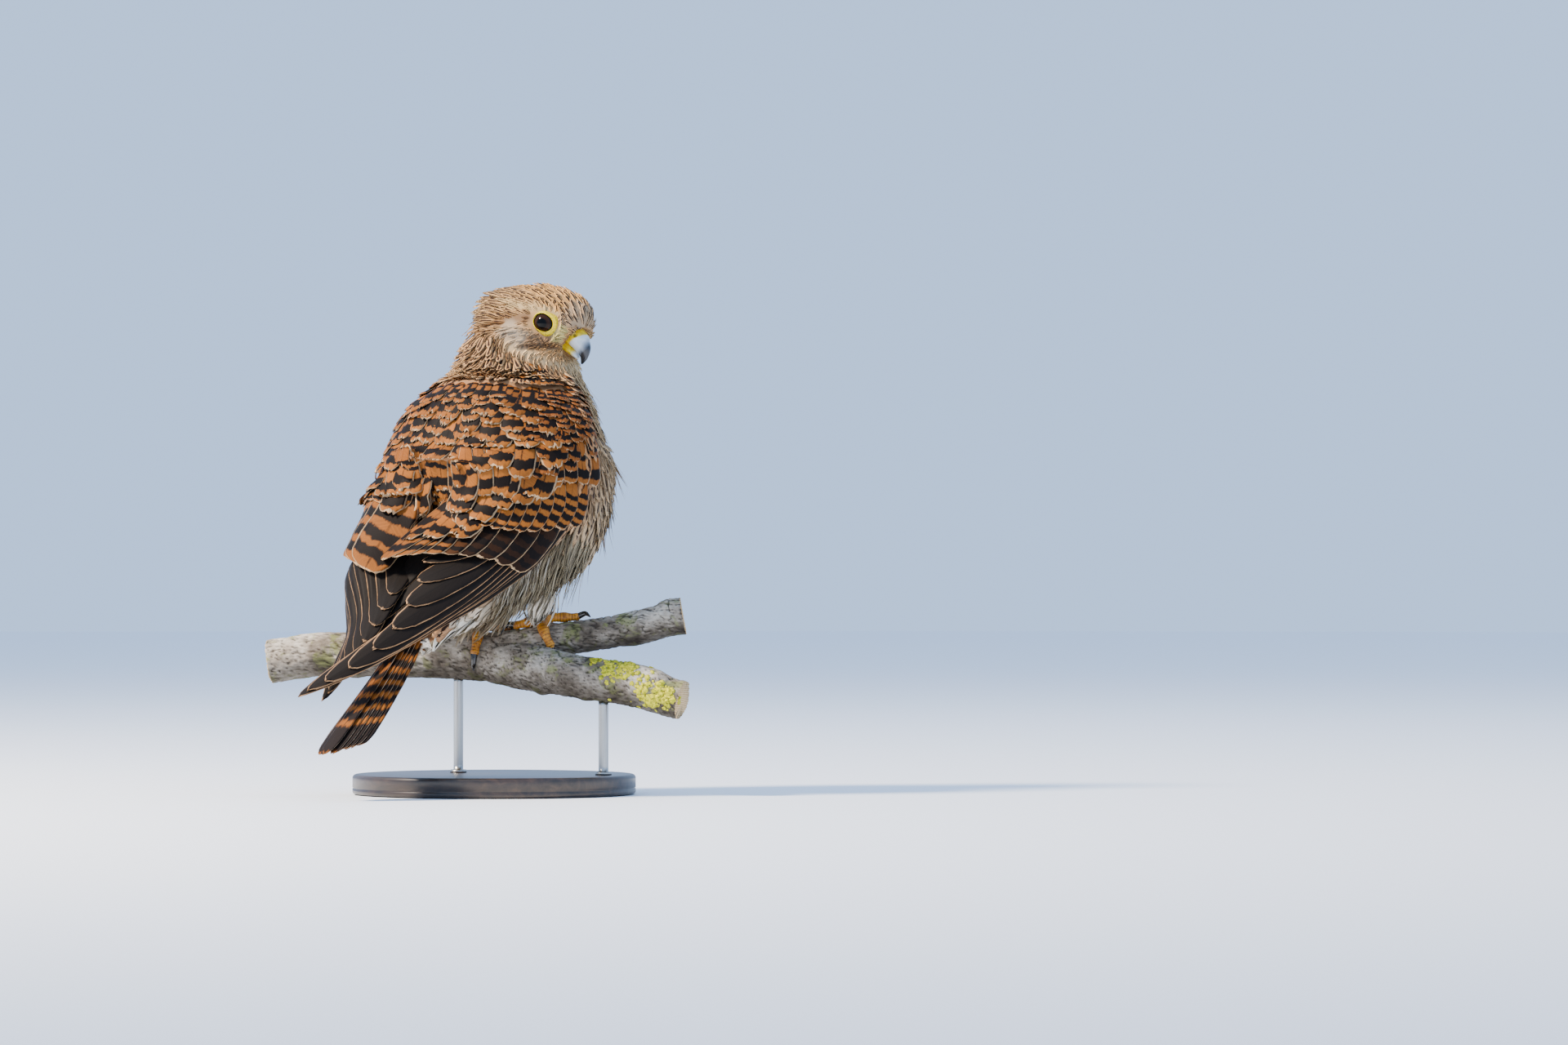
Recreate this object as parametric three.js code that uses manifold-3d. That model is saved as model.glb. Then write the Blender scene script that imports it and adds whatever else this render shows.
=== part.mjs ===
// A common kestrel, female, as a still life-size museum model: perched on a short forked length of birch on a plain stand.
// Millimetres, +Z up. The origin is the middle of the stand's underside. The bird's body faces -Y, its right side is at -X.
import * as THREE from "three";
import { mergeVertices } from "three/addons/utils/BufferGeometryUtils.js";
import Module from "manifold-3d";

const wasm = await Module();
wasm.setup();

// Sizes that everything else follows
const GAP = 0.3; // between pieces that touch
const DEGREE = Math.PI / 180;
const VIEW_TURN = 38 * DEGREE; // the perch runs across a view from behind the bird's right shoulder, turned this far
const BASE = { radius: 72, height: 10, edge: 2, foot: 0.6, sides: 40 };
const ROD = { radius: 2.5, top: 75, sides: 14 };
const TOLERANCE = 0.08; // small facets within this of a larger one are merged
const RIGHT = -1; // sign of X on the bird's right
const LEFT = 1;

// The trunk's axis from the neck to the tail's tip
// each row: x, y, z, half width, half depth to the back, half depth to the breast
const TRUNK = [
  [0, -6, 240, 16, 16, 16],
  [0, -12, 227, 26, 24, 27],
  [0, -15, 213, 35, 32, 37],
  [0, -13, 199, 44, 41, 46],
  [0, -9, 183, 49, 46, 58],
  [0, -7, 164, 51, 47, 66],
  [0, 0, 143, 50, 44, 62],
  [0, 15, 122, 42, 31, 37],
  [0, 35, 102, 27, 18, 23],
  [0, 57, 84, 17, 9, 10],
  [0, 82, 63, 14, 5, 5],
  [0, 107, 42, 14, 3, 3],
  [0, 132, 21, 14, 2, 2],
];
// The cloak: the form that the folded wings follow, the trunk's own in front and bent left to the wing tips behind
const CLOAK = [
  [0, -6, 240, 16, 16, 16],
  [0, -12, 227, 26, 24, 27],
  [0, -15, 213, 35, 32, 37],
  [0, -13, 199, 44, 41, 46],
  [0, -9, 183, 49, 46, 58],
  [0, -7, 164, 51, 47, 66],
  [0, 0, 143, 50, 44, 62],
  [1, 16, 123, 42, 31, 36],
  [4, 38, 105, 31, 20, 22],
  [9, 64, 86, 21, 11, 12],
  [14, 90, 66, 14, 7, 7],
  [19, 113, 48, 9, 5, 5],
  [23, 134, 33, 7, 4, 4],
];

// Helpers: smooth curves, charts and solids
const hold = (value, low, high) => Math.min(Math.max(value, low), high);
function smooth(rows) {
  const last = rows.length - 1;
  const row = (k) => rows[hold(k, 0, last)];
  return (place) => {
    const at = hold(place, 0, last);
    const i = Math.min(Math.floor(at), last - 1);
    const s = at - i;
    const [a, b, c, d] = [row(i - 1), row(i), row(i + 1), row(i + 2)];
    return b.map(
      (_, n) =>
        b[n] +
        0.5 * s * (c[n] - a[n] + s * (2 * a[n] - 5 * b[n] + 4 * c[n] - d[n] + s * (3 * (b[n] - c[n]) + d[n] - a[n]))),
    );
  };
}

// A chart turns (millimetres along the axis, degrees round it from the back towards the bird's right, lift) into a point
function chart(rows) {
  const read = smooth(rows);
  const steps = 20 * (rows.length - 1);
  const run = [0];
  for (let k = 1; k <= steps; k++) {
    const [a, b] = [read((k - 1) / 20), read(k / 20)];
    run.push(run[k - 1] + Math.hypot(b[0] - a[0], b[1] - a[1], b[2] - a[2]));
  }
  const station = (along) => {
    let k = 1;
    while (k < steps && run[k] < along) k++;
    return (k - 1 + (along - run[k - 1]) / (run[k] - run[k - 1])) / 20;
  };
  const at = (along, degrees, lift = 0) => {
    const s = station(along);
    const [x, y, z, side, back, front] = read(s);
    const [before, after] = [read(s - 0.05), read(s + 0.05)];
    const down = new THREE.Vector3(after[0] - before[0], after[1] - before[1], after[2] - before[2]).normalize();
    const dorsal = new THREE.Vector3().crossVectors(down, new THREE.Vector3(RIGHT, 0, 0)).normalize();
    const right = new THREE.Vector3().crossVectors(dorsal, down);
    const turn = degrees * DEGREE;
    const depth = Math.cos(turn) > 0 ? back : front;
    return new THREE.Vector3(x, y, z)
      .addScaledVector(right, (side + lift) * Math.sin(turn))
      .addScaledVector(dorsal, (depth + lift) * Math.cos(turn));
  };
  const girth = (along) => {
    const [, , , side, back] = read(station(along));
    return (side + back) / 2;
  };
  // a place beside the axis, with its height above the back
  const flat = (along, off, height) => {
    return at(along, 0, height).add(new THREE.Vector3(off * RIGHT, 0, 0));
  };
  return { at, girth, flat };
}
const trunk = chart(TRUNK);
const cloak = chart(CLOAK);

function solid(geometry) {
  const bare = geometry.clone();
  for (const name of Object.keys(bare.attributes)) if (name !== "position") bare.deleteAttribute(name);
  const merged = mergeVertices(bare, 1e-3);
  const all = merged.index.array;
  const kept = [];
  for (let i = 0; i < all.length; i += 3) {
    const [a, b, c] = [all[i], all[i + 1], all[i + 2]];
    if (a !== b && b !== c && c !== a) kept.push(a, b, c);
  }
  const make = (corners) =>
    new wasm.Manifold(
      new wasm.Mesh({
        numProp: 3,
        vertProperties: merged.attributes.position.array,
        triVerts: new Uint32Array(corners),
      }),
    );
  const made = make(kept);
  if (made.volume() > 0) return made;
  return make(kept.reverse());
}

// A closed round body: place(t, turn, share) gives the point at t along, turn radians round and share of the radius
function loft(place, around, along) {
  const geometry = new THREE.CylinderGeometry(1, 1, 1, around, along);
  const p = geometry.attributes.position;
  for (let i = 0; i < p.count; i++) {
    const share = Math.min(1, Math.hypot(p.getX(i), p.getZ(i)));
    const turn = share > 0 ? Math.atan2(p.getX(i), p.getZ(i)) : 0;
    const point = place(0.5 - p.getY(i), turn, share);
    p.setXYZ(i, point.x, point.y, point.z);
  }
  return solid(geometry);
}

// A round tube through points, rows of x, y, z, radius
function tube(rows, around, along, grow = 0) {
  const read = smooth(rows);
  const last = rows.length - 1;
  return loft(
    (t, turn, share) => {
      const [x, y, z, radius] = read(t * last);
      const [a, b] = [read(t * last - 0.05), read(t * last + 0.05)];
      const ahead = new THREE.Vector3(b[0] - a[0], b[1] - a[1], b[2] - a[2]).normalize();
      const over = Math.abs(ahead.z) > 0.9 ? new THREE.Vector3(1, 0, 0) : new THREE.Vector3(0, 0, 1);
      const side = new THREE.Vector3().crossVectors(ahead, over).normalize();
      const up = new THREE.Vector3().crossVectors(side, ahead);
      const reach = (radius + grow) * share;
      return new THREE.Vector3(x, y, z)
        .addScaledVector(side, reach * Math.sin(turn))
        .addScaledVector(up, reach * Math.cos(turn))
        .addScaledVector(ahead, t === 0 ? -grow : t === 1 ? grow : 0);
    },
    around,
    along,
  );
}

// A thin closed plate: place(a, b, face) gives the point at share a across and b along, on face 1 (outer) or 0 (inner)
function plate(place, across, along) {
  const sheet = new THREE.PlaneGeometry(1, 1, across, along);
  const p = sheet.attributes.position;
  const points = [];
  for (const face of [1, 0]) {
    for (let i = 0; i < p.count; i++) points.push(place(p.getX(i) + 0.5, 0.5 - p.getY(i), face));
  }
  const top = sheet.index.array;
  const corners = [];
  for (let i = 0; i < top.length; i += 3) {
    const [a, b, c] = [top[i], top[i + 1], top[i + 2]];
    corners.push(a, b, c, a + p.count, c + p.count, b + p.count);
  }
  const rim = [];
  const at = (column, row) => row * (across + 1) + column;
  for (let row = 0; row < along; row++) rim.push(at(0, row));
  for (let column = 0; column < across; column++) rim.push(at(column, along));
  for (let row = along; row > 0; row--) rim.push(at(across, row));
  for (let column = across; column > 0; column--) rim.push(at(column, 0));
  rim.forEach((a, k) => {
    const b = rim[(k + 1) % rim.length];
    corners.push(b, a, a + p.count, b, a + p.count, b + p.count);
  });
  const geometry = new THREE.BufferGeometry().setFromPoints(points);
  geometry.setIndex(corners);
  return solid(geometry);
}

const joined = (solids) => wasm.Manifold.union(solids);
function largest(made) {
  return made.decompose().reduce((best, piece) => (piece.volume() > best.volume() ? piece : best));
}
const mix = (a, b, t) => a + (b - a) * t;
const ease = (from, to, value) => THREE.MathUtils.smoothstep(value, from, to);
// A smooth curve through pairs of place and height
const between = (curve) => {
  const read = smooth(curve);
  return (value) => {
    let k = 0;
    while (k < curve.length - 2 && curve[k + 1][0] < value) k++;
    const share = (value - curve[k][0]) / (curve[k + 1][0] - curve[k][0]);
    return read(k + hold(share, 0, 1))[1];
  };
};

const model = new THREE.Group();
function add(name, made, colour, roughness = 0.8, metalness = 0) {
  const { numProp, numVert, vertProperties, triVerts } = largest(made).simplify(TOLERANCE).getMesh();
  const points = new Float32Array(numVert * 3);
  for (let i = 0; i < numVert; i++) points.set(vertProperties.subarray(i * numProp, i * numProp + 3), i * 3);
  const geometry = new THREE.BufferGeometry();
  geometry.setAttribute("position", new THREE.BufferAttribute(points, 3));
  geometry.setIndex(new THREE.BufferAttribute(triVerts, 1));
  const mesh = new THREE.Mesh(geometry, new THREE.MeshStandardMaterial({ color: colour, roughness, metalness }));
  mesh.name = name;
  model.add(mesh);
}

// Torso and neck: lengths of the trunk, with a raised mantle between the wings
const NECK_END = 24;
const TORSO_END = 186;
const MANTLE = { half: 9, lift: 10, from: 54, to: 124, rise: 38, fall: 20 };
function trunkLength(from, to, grow = 0, around = 28, along = 15) {
  return loft(
    (t, turn, share) => {
      const reach = from + (to - from) * t;
      const centre = trunk.at(reach, 0, 0).add(trunk.at(reach, 180, 0)).multiplyScalar(0.5);
      return centre.lerp(trunk.at(reach, turn / DEGREE, grow), share);
    },
    around,
    along,
  );
}
function mantle(grow = 0) {
  const { from, to, rise, fall, lift } = MANTLE;
  const height = (along) => lift * ease(from, from + rise, along) * ease(to, to - fall, along);
  return plate(
    (a, b, face) => {
      const along = mix(from - grow, to + grow, b);
      const wide = MANTLE.half + grow / 0.7;
      return trunk.at(along, mix(-wide, wide, a), face ? 0.5 + height(along) + grow : -3);
    },
    4,
    10,
  );
}

// Feathers: a vane is a plate in a chart, from its root to its tip, rounded at the end. Rows hold share and width.
const SHAPES = {
  flight: [[0, 0.5], [0.2, 1], [0.42, 1], [0.64, 0.96], [0.82, 0.8], [0.94, 0.5], [1, 0.16]],
  tertial: [[0, 0.5], [0.35, 1], [0.7, 0.98], [0.9, 0.7], [1, 0.22]],
  covert: [[0, 0.6], [0.45, 1], [0.8, 0.86], [1, 0.26]],
  tail: [[0, 0.6], [0.2, 0.9], [0.45, 1], [0.7, 1], [0.88, 0.92], [0.96, 0.66], [1, 0.25]],
};
const THICK = 0.5;
const STACK = 1; // each feather lies this much over the next one outwards
function vane(chartUsed, feather) {
  const { root, tip, half, lift, shape, sign, bow = 1 } = feather;
  const rows = SHAPES[shape];
  return plate(
    (a, b, face) => {
      const [s, width] = rows[Math.round(b * (rows.length - 1))];
      const along = mix(root[0], tip[0], s);
      const spread = ((a - 0.5) * 2 * half * width) / ((chartUsed.girth(along) + 7) * DEGREE);
      const degrees = mix(root[1], tip[1], Math.pow(s, bow)) + spread;
      return chartUsed.at(along, sign * degrees, lift(along, degrees) + (face - 0.5) * THICK);
    },
    2,
    rows.length - 1,
  );
}

// Wings. Their rows run slantwise: "reach" is the length along the cloak less the slant
const SLANT = 0.42;
const OUTER = 86;
const alongAt = (reach, degrees) => reach + SLANT * (OUTER - degrees);
const reachAt = (along, degrees) => along - SLANT * (OUTER - degrees);
const LEFT_FLARE = 17; // the left wing's inner feathers stand this far out from the body
const flareAt = (along, degrees) => LEFT_FLARE * ease(92, 140, along) * ease(5, 45, degrees);
const CORE = { inner: MANTLE.half + 0.5, outer: 97, from: 28, to: 121, under: 0.36, edge: 1.1 };
const CORE_TOP = between([
  [26, 1], [36, 3.5], [48, 8.8], [58, 12.2], [70, 12.8], [80, 11.8], [90, 10], [100, 8], [108, 6], [116, 4], [122, 2],
]);

function core(sign) {
  return plate(
    (a, b, face) => {
      const degrees = mix(CORE.inner, CORE.outer, a);
      const reach = mix(CORE.from, CORE.to, b);
      const border = Math.sqrt(ease(0, 0.12, 1 - a)) * mix(0.96, 1, ease(0, 0.2, a));
      const top = CORE.edge + Math.max(0, CORE_TOP(reach) - CORE.edge) * border;
      const along = alongAt(reach, degrees);
      const flare = sign === 1 ? 0 : flareAt(along, degrees);
      return cloak.at(along, sign * degrees, face ? top + flare : CORE.under);
    },
    8,
    9,
  );
}

const OVER_LEFT = 8.5; // the right wing's tips cross this far above the left wing's

// Rows of feathers, each tip a length along the cloak and degrees, from the outermost inwards
const ROWS = {
  primary: { half: 6.2, shape: "flight", bow: 2.2 },
  secondary: {
    root: 101, half: 7.6, shape: "tertial", skew: 0, middle: 35, gap: 14,
    height: between([[90, 6.2], [104, 6.6], [120, 7.6], [142, 9.6]]),
  },
  greater: {
    root: 84, half: 6.2, shape: "covert", skew: 4, middle: 50, gap: 10,
    height: between([[70, 8.8], [90, 9], [120, 10]]),
  },
  median: {
    root: 60, half: 5.8, shape: "covert", skew: 3, middle: 54, gap: 11,
    height: between([[50, 10.7], [75, 11.2], [92, 12.4]]),
  },
};
const RIGHT_TIPS = {
  primary: [[263, 15], [257, 24], [246, 38], [230, 47], [213, 49], [197, 43], [181, 34], [168, 23]],
  secondary: [[144, 77], [148, 61], [152, 45], [156, 31], [161, 17], [166, 4], [170, -8]],
  greater: [[110, 86], [118, 76], [125, 66], [131, 56], [136, 46], [140, 35], [143, 25]],
  median: [[88, 87], [90, 76], [93, 65], [97, 54], [103, 43], [110, 32], [117, 22]],
};
const LEFT_TIPS = {
  ...RIGHT_TIPS,
  primary: [[252, -46], [246, -42], [238, -38], [228, -35], [215, -32], [201, -30], [187, -28], [173, -26]],
  secondary: [[148, 80], [156, 69], [164, 58], [171, 47], [177, 37], [180, 29], [181, 22]],
};

function wing(sign) {
  const crossing = sign === 1;
  const tips = crossing ? RIGHT_TIPS : LEFT_TIPS;
  const raise = (along, turn) =>
    crossing ? OVER_LEFT * ease(118, 178, along) : flareAt(along, turn) * ease(215, 175, along);
  // The primaries lie as a stack that opens towards their roots
  const middle = (along) => mix(72, crossing ? 30 : 0, ease(118, 240, along));
  const slope = (along) => mix(0.25, 0.05, ease(118, 195, along));
  const feathers = tips.primary.map((tip, i) => {
    const order = i - (tips.primary.length - 1) / 2;
    const degrees = 69 - 5 * order;
    return {
      ...ROWS.primary,
      bow: crossing ? 2.2 : 2,
      root: [alongAt(102, degrees), degrees],
      tip,
      lift: (along, turn) =>
        4.3 + 1.6 * ease(150, 200, along) + raise(along, turn) + 1.25 * order + slope(along) * (turn - middle(along)),
    };
  });
  for (const kind of ["secondary", "greater", "median"]) {
    const row = ROWS[kind];
    tips[kind].forEach((tip, i) => {
      const order = i - (tips[kind].length - 1) / 2;
      const degrees = hold(tip[1] - row.skew, 17, 84);
      feathers.push({
        ...row,
        root: [alongAt(row.root - 5 * Math.max(0, order - 1), degrees), degrees],
        tip,
        lift: (along, turn) =>
          row.height(reachAt(along, turn)) + raise(along, turn) + STACK * (order + (turn - row.middle) / row.gap),
      });
    });
  }
  const vanes = feathers.map((feather) => vane(cloak, { ...feather, sign }));
  return joined([core(sign), ...vanes]);
}

// Tail: six pairs of feathers, the middle pair on top, from a block under the rump's end
const TAIL = { pairs: 6, root: 190, tip: 280, shorter: 2.6, width: 10.5, middle: 6.5, fan: 1.5, level: 0.85, droop: 150 };
const TAIL_BLOCK = { half: 11, round: 12.5, to: 204, top: [4.5, 0.9], bottom: [-9, -5.4] };
function tail() {
  const flat = (along, off, height) => trunk.flat(along, off, height - (off * off) / TAIL.droop);
  const block = plate(
    (a, b, face) => {
      const off = mix(-TAIL_BLOCK.half, TAIL_BLOCK.half, a);
      const round = Math.sqrt(1 - (off / TAIL_BLOCK.round) ** 2);
      const [first, last] = face ? TAIL_BLOCK.top : TAIL_BLOCK.bottom;
      return flat(mix(TORSO_END + GAP, TAIL_BLOCK.to, b), off, mix(first, last, b) * round);
    },
    6,
    3,
  );
  // each pair is a little shorter, lies further out and one step lower; of the middle pair the right one is on top
  const feather = (pair, side) => {
    const outer = TAIL.middle + TAIL.fan * pair;
    const inner = pair === 0 ? -3.5 : Math.max(0.5, outer - TAIL.width);
    const level = pair === 0 && side === RIGHT ? 0 : -TAIL.level * (pair + 1);
    const rows = SHAPES.tail;
    return plate(
      (a, b, face) => {
        const [share, width] = rows[Math.round(b * (rows.length - 1))];
        const off = ((outer + inner) / 2 + (a - 0.5) * (outer - inner) * width) * mix(0.62, 1, share);
        const along = mix(TAIL.root, TAIL.tip - TAIL.shorter * pair, share);
        return flat(along, side * RIGHT * off, level + (face - 0.5) * THICK);
      },
      2,
      rows.length - 1,
    );
  };
  const feathers = [block];
  for (let pair = 0; pair < TAIL.pairs; pair++) {
    for (const side of [RIGHT, LEFT]) feathers.push(feather(pair, side));
  }
  return joined(feathers);
}

// Head, turned to the bird's right and bowed; its own frame runs forward, up and to its right
const HEAD = { x: -14, y: -26, z: 241.5, turn: 87 * DEGREE, bow: 28 * DEGREE };
const FORWARD = new THREE.Vector3(-Math.sin(HEAD.turn), -Math.cos(HEAD.turn), 0);
const HEAD_RIGHT = new THREE.Vector3(-Math.cos(HEAD.turn), Math.sin(HEAD.turn), 0);
function inHead(forward, up, right) {
  const level = forward * Math.cos(HEAD.bow) + up * Math.sin(HEAD.bow);
  const rise = up * Math.cos(HEAD.bow) - forward * Math.sin(HEAD.bow);
  return new THREE.Vector3(HEAD.x, HEAD.y, HEAD.z + rise).addScaledVector(FORWARD, level).addScaledVector(HEAD_RIGHT, right);
}
// rows: forward, height of the middle, half height, half width
const HEAD_FORM = smooth([
  [-36, -14, 6, 8],
  [-32, -13, 12, 14],
  [-24, -10, 17.5, 20],
  [-12, -4.7, 19.7, 22],
  [0, -1.5, 20.3, 20.3],
  [9, -0.2, 19.8, 17],
  [17.5, 0.9, 17.2, 14.2],
  [22, 1.3, 13, 11],
  [23.8, 0.7, 9, 8],
  [24.3, 0.2, 5, 5],
]);
function headForm(grow = 0, around = 22, along = 12) {
  return loft(
    (t, turn, share) => {
      const [forward, middle, high, wide] = HEAD_FORM(t * 9);
      const push = t === 0 ? -grow : t === 1 ? grow : 0;
      return inHead(forward + push, middle + (high + grow) * share * Math.cos(turn), (wide + grow) * share * Math.sin(turn));
    },
    around,
    along,
  );
}
function ball(centre, radius, around = 14, rings = 8) {
  const geometry = new THREE.SphereGeometry(radius, around, rings);
  geometry.translate(centre.x, centre.y, centre.z);
  return solid(geometry);
}
// A curved body in the head's frame, rows: forward, up, right, half height, half width
function headTube(rows, around, along, grow = 0) {
  const read = smooth(rows);
  const last = rows.length - 1;
  return loft(
    (t, turn, share) => {
      const [forward, up, right, high, wide] = read(t * last);
      const [a, b] = [read(t * last - 0.05), read(t * last + 0.05)];
      const [df, du] = [b[0] - a[0], b[1] - a[1]];
      const size = Math.hypot(df, du);
      const push = t === 0 ? -grow : t === 1 ? grow : 0;
      const rise = (high + grow) * share * Math.cos(turn);
      return inHead(
        forward + (df / size) * push - (du / size) * rise,
        up + (du / size) * push + (df / size) * rise,
        right + (wide + grow) * share * Math.sin(turn),
      );
    },
    around,
    along,
  );
}
const EYE = { forward: 8, up: 1.8, right: 12.8, radius: 6.3, ring: 5, rim: 0.85 };
const eyeAt = (side) => inHead(EYE.forward, EYE.up, side * EYE.right);
const upperBill = (grow = 0) =>
  headTube(
    [
      [16, 0.2, 0, 5, 5.6],
      [20, 0, 0, 5, 5.6],
      [24, -1.2, 0, 4.7, 4.9],
      [27.3, -3.4, 0, 3.9, 3.5],
      [29.3, -6.6, 0, 2.2, 1.9],
      [29.6, -10.4, 0, 0.4, 0.4],
    ],
    12,
    9,
    grow,
  );
const lowerBill = (grow = 0) =>
  headTube(
    [
      [15, -6.4, 0, 2.4, 4.9],
      [20, -6.9, 0, 2.2, 4.4],
      [24, -7.8, 0, 1.6, 3.1],
      [26.6, -8.9, 0, 0.6, 1],
    ],
    12,
    6,
    grow,
  );
const NOSTRIL = { forward: 22, up: 2.4, right: 5.2, radius: 1.25 };

function eyeRing(side) {
  const ring = new THREE.TorusGeometry(EYE.ring, EYE.rim, 4, 16);
  const out = inHead(0.32, 0.06, side).sub(inHead(0, 0, 0)).normalize();
  ring.applyQuaternion(new THREE.Quaternion().setFromUnitVectors(new THREE.Vector3(0, 0, 1), out));
  const at = eyeAt(side).addScaledVector(out, Math.sqrt(EYE.radius ** 2 - EYE.ring ** 2) + 0.25);
  ring.translate(at.x, at.y, at.z);
  return solid(ring);
}
// the brow's ridge over an eye, and the groove that runs back from the corner of the mouth
const brow = (side) =>
  headTube(
    [
      [15, 5, side * 9.5, 1.2, 2],
      [9, 7.8, side * 12.6, 2.2, 3.2],
      [1, 8.2, side * 14.6, 1.6, 3],
    ],
    8,
    4,
  );
const gape = (side) =>
  headTube(
    [
      [21, -5.6, side * 6.4, 0.45, 2.5],
      [16, -5.8, side * 9.6, 0.45, 2.5],
      [11, -6.6, side * 13.5, 0.4, 2],
    ],
    6,
    3,
  );
function head() {
  const added = [headForm()];
  const taken = [upperBill(GAP), lowerBill(GAP)];
  for (const side of [1, -1]) {
    added.push(eyeRing(side), brow(side));
    taken.push(ball(eyeAt(side), EYE.radius + GAP), gape(side));
  }
  return wasm.Manifold.difference([joined(added), ...taken]);
}

// The perch: a forked branch. Places are given across the view, away from it, and up, then the radius
const place = (across, away, up) =>
  new THREE.Vector3(
    -across * Math.cos(VIEW_TURN) + away * Math.sin(VIEW_TURN),
    -across * Math.sin(VIEW_TURN) - away * Math.cos(VIEW_TURN),
    up,
  );
const STEM = [
  [-116, 30, 66.5, 11], [-93, 27.5, 69.7, 11.2], [-60, 24, 71, 11.6], [-27, 20.5, 70.5, 12.1],
  [-4, 17, 69.5, 12.4], [14, 11.5, 73, 10.6], [26, 7.8, 77.2, 8.8], [39.4, 6, 79, 8.3],
  [56, 5, 81.6, 8.2], [72.6, 4, 84, 8.8], [89, 3, 89, 9], [96, 3, 90.3, 9.2],
];
const ARM = [
  [-10, 17, 69, 9], [2, 12, 67, 11.6], [16, 2, 64.6, 11.6], [30, -9, 62.4, 11.2],
  [39.4, -14, 60.4, 11], [56, -20, 57.7, 10.7], [72.6, -25, 55.4, 11], [89, -29, 49.7, 10], [96, -31, 48, 9.9],
];
const placed = (rows) => rows.map(([across, away, up, radius]) => [...place(across, away, up).toArray(), radius]);
const stem = (grow = 0) => tube(placed(STEM), 14, 20, grow);
const arm = (grow = 0) => tube(placed(ARM), 14, 11, grow);
const aroundPerch = joined([stem(GAP), arm(GAP)]);

// A place on the stem: across the view, degrees round it from the top towards the far side, lift
const stemAt = smooth(STEM);
function onStem(across, degrees, lift) {
  const step = 0.01;
  let s = 0;
  while (s < STEM.length - 1 && stemAt(s)[0] < across) s += step;
  const [, away, up, radius] = stemAt(s);
  const turn = degrees * DEGREE;
  return place(across, away + (radius + lift) * Math.sin(turn), up + (radius + lift) * Math.cos(turn));
}

// Feet: tarsus and four toes that grip the branch. Toes as rows: across, degrees round the branch, lift, radius
const FEET = {
  right: {
    at: 26,
    knee: [-17, -17, 101],
    toes: [
      [[26, -8, 3.4, 3.2], [24.5, -40, 3, 2.9], [26, -70, 2.8, 2.5], [28.5, -98, 2.6, 2.2]],
      [[25, 0, 3.6, 3.2], [20, -4, 3, 2.7], [15.5, -8, 2.8, 2.5], [11, -12, 2.6, 2.2]],
      [[26, 8, 3.6, 3.3], [27, 34, 3, 2.7], [27.5, 62, 2.8, 2.5], [28, 92, 2.6, 2.1]],
      [[27, 0, 3.6, 3.2], [32, 8, 3, 2.6], [37, 14, 2.8, 2.4], [41.5, 18, 2.6, 2.1]],
    ],
    claws: [
      [[28.7, -101, 2.7, 1.8], [29.5, -125, 3, 1.3], [29.5, -146, 1.6, 0.25]],
      [[9.6, -13, 2.9, 1.9], [5.8, -18, 3.6, 1.4], [3.2, -34, 1.2, 0.25]],
      [[28.2, 96, 2.8, 1.7], [28.8, 118, 3.2, 1.3], [29, 138, 1.4, 0.25]],
      [[42.8, 18, 2.9, 1.7], [46.2, 12, 3.4, 1.3], [48.8, 0, 1, 0.25]],
    ],
  },
  left: {
    at: -6,
    knee: [15, -8, 98],
    toes: [
      [[-6, -8, 3.4, 3.2], [-8, -34, 3, 2.9], [-9, -58, 2.8, 2.5], [-10, -80, 2.6, 2.2]],
      [[-5, 0, 3.6, 3.2], [-1, 14, 3, 2.7], [2.5, 24, 2.8, 2.5], [6.5, 32, 2.6, 2.2]],
      [[-6, 8, 3.6, 3.3], [-7, 32, 3, 2.7], [-8, 56, 2.8, 2.5], [-8.5, 80, 2.6, 2.1]],
      [[-7, 0, 3.6, 3.2], [-12, 4, 3, 2.6], [-17, 8, 2.8, 2.4], [-21.5, 10, 2.6, 2.1]],
    ],
    claws: [
      [[-10.2, -84, 2.7, 1.8], [-10.6, -104, 3.2, 1.3], [-10.8, -122, 1.2, 0.25]],
      [[7.8, 34, 2.9, 1.8], [11, 40, 3.2, 1.3], [13.4, 50, 1.2, 0.25]],
      [[-8.7, 84, 2.8, 1.7], [-9, 104, 3.2, 1.3], [-9.2, 122, 1.2, 0.25]],
      [[-22.9, 10, 2.9, 1.7], [-26.2, 6, 3.4, 1.3], [-28.8, -6, 1, 0.25]],
    ],
  },
};
const onRows = (rows) => rows.map(([across, degrees, lift, radius]) => [...onStem(across, degrees, lift).toArray(), radius]);
// knuckles: the radius swells at each row and narrows between
function toe(rows) {
  const read = smooth(onRows(rows));
  const fine = [];
  for (let k = 0; k <= 12; k++) {
    const point = read(k / 4);
    point[3] *= 1 + 0.1 * Math.cos((k / 2) * Math.PI);
    fine.push(point);
  }
  return tube(fine, 7, 8);
}
function foot(name) {
  const { at, knee, toes } = FEET[name];
  const sole = onStem(at, 0, 3.6).toArray();
  const shank = tube([[...knee, 3.1], [...sole.map((v, i) => mix(v, knee[i], 0.45)), 2.8], [...sole, 3.4]], 12, 4);
  return joined([shank, ball(new THREE.Vector3(...sole), 4.1, 10, 7), ...toes.map(toe)]);
}

// Thighs: feathered, from the flank down to the ankle
const THIGH = {
  right: [[-25, 4, 124, 16], [-22, -4, 113, 13.5], [-19, -12, 103, 10], [-17.5, -17.5, 96, 6.5]],
  left: [[26, 6, 124, 17], [23, 0, 112, 16], [18, -5, 102, 11.5], [16, -8.5, 93.5, 6.5]],
};

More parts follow.
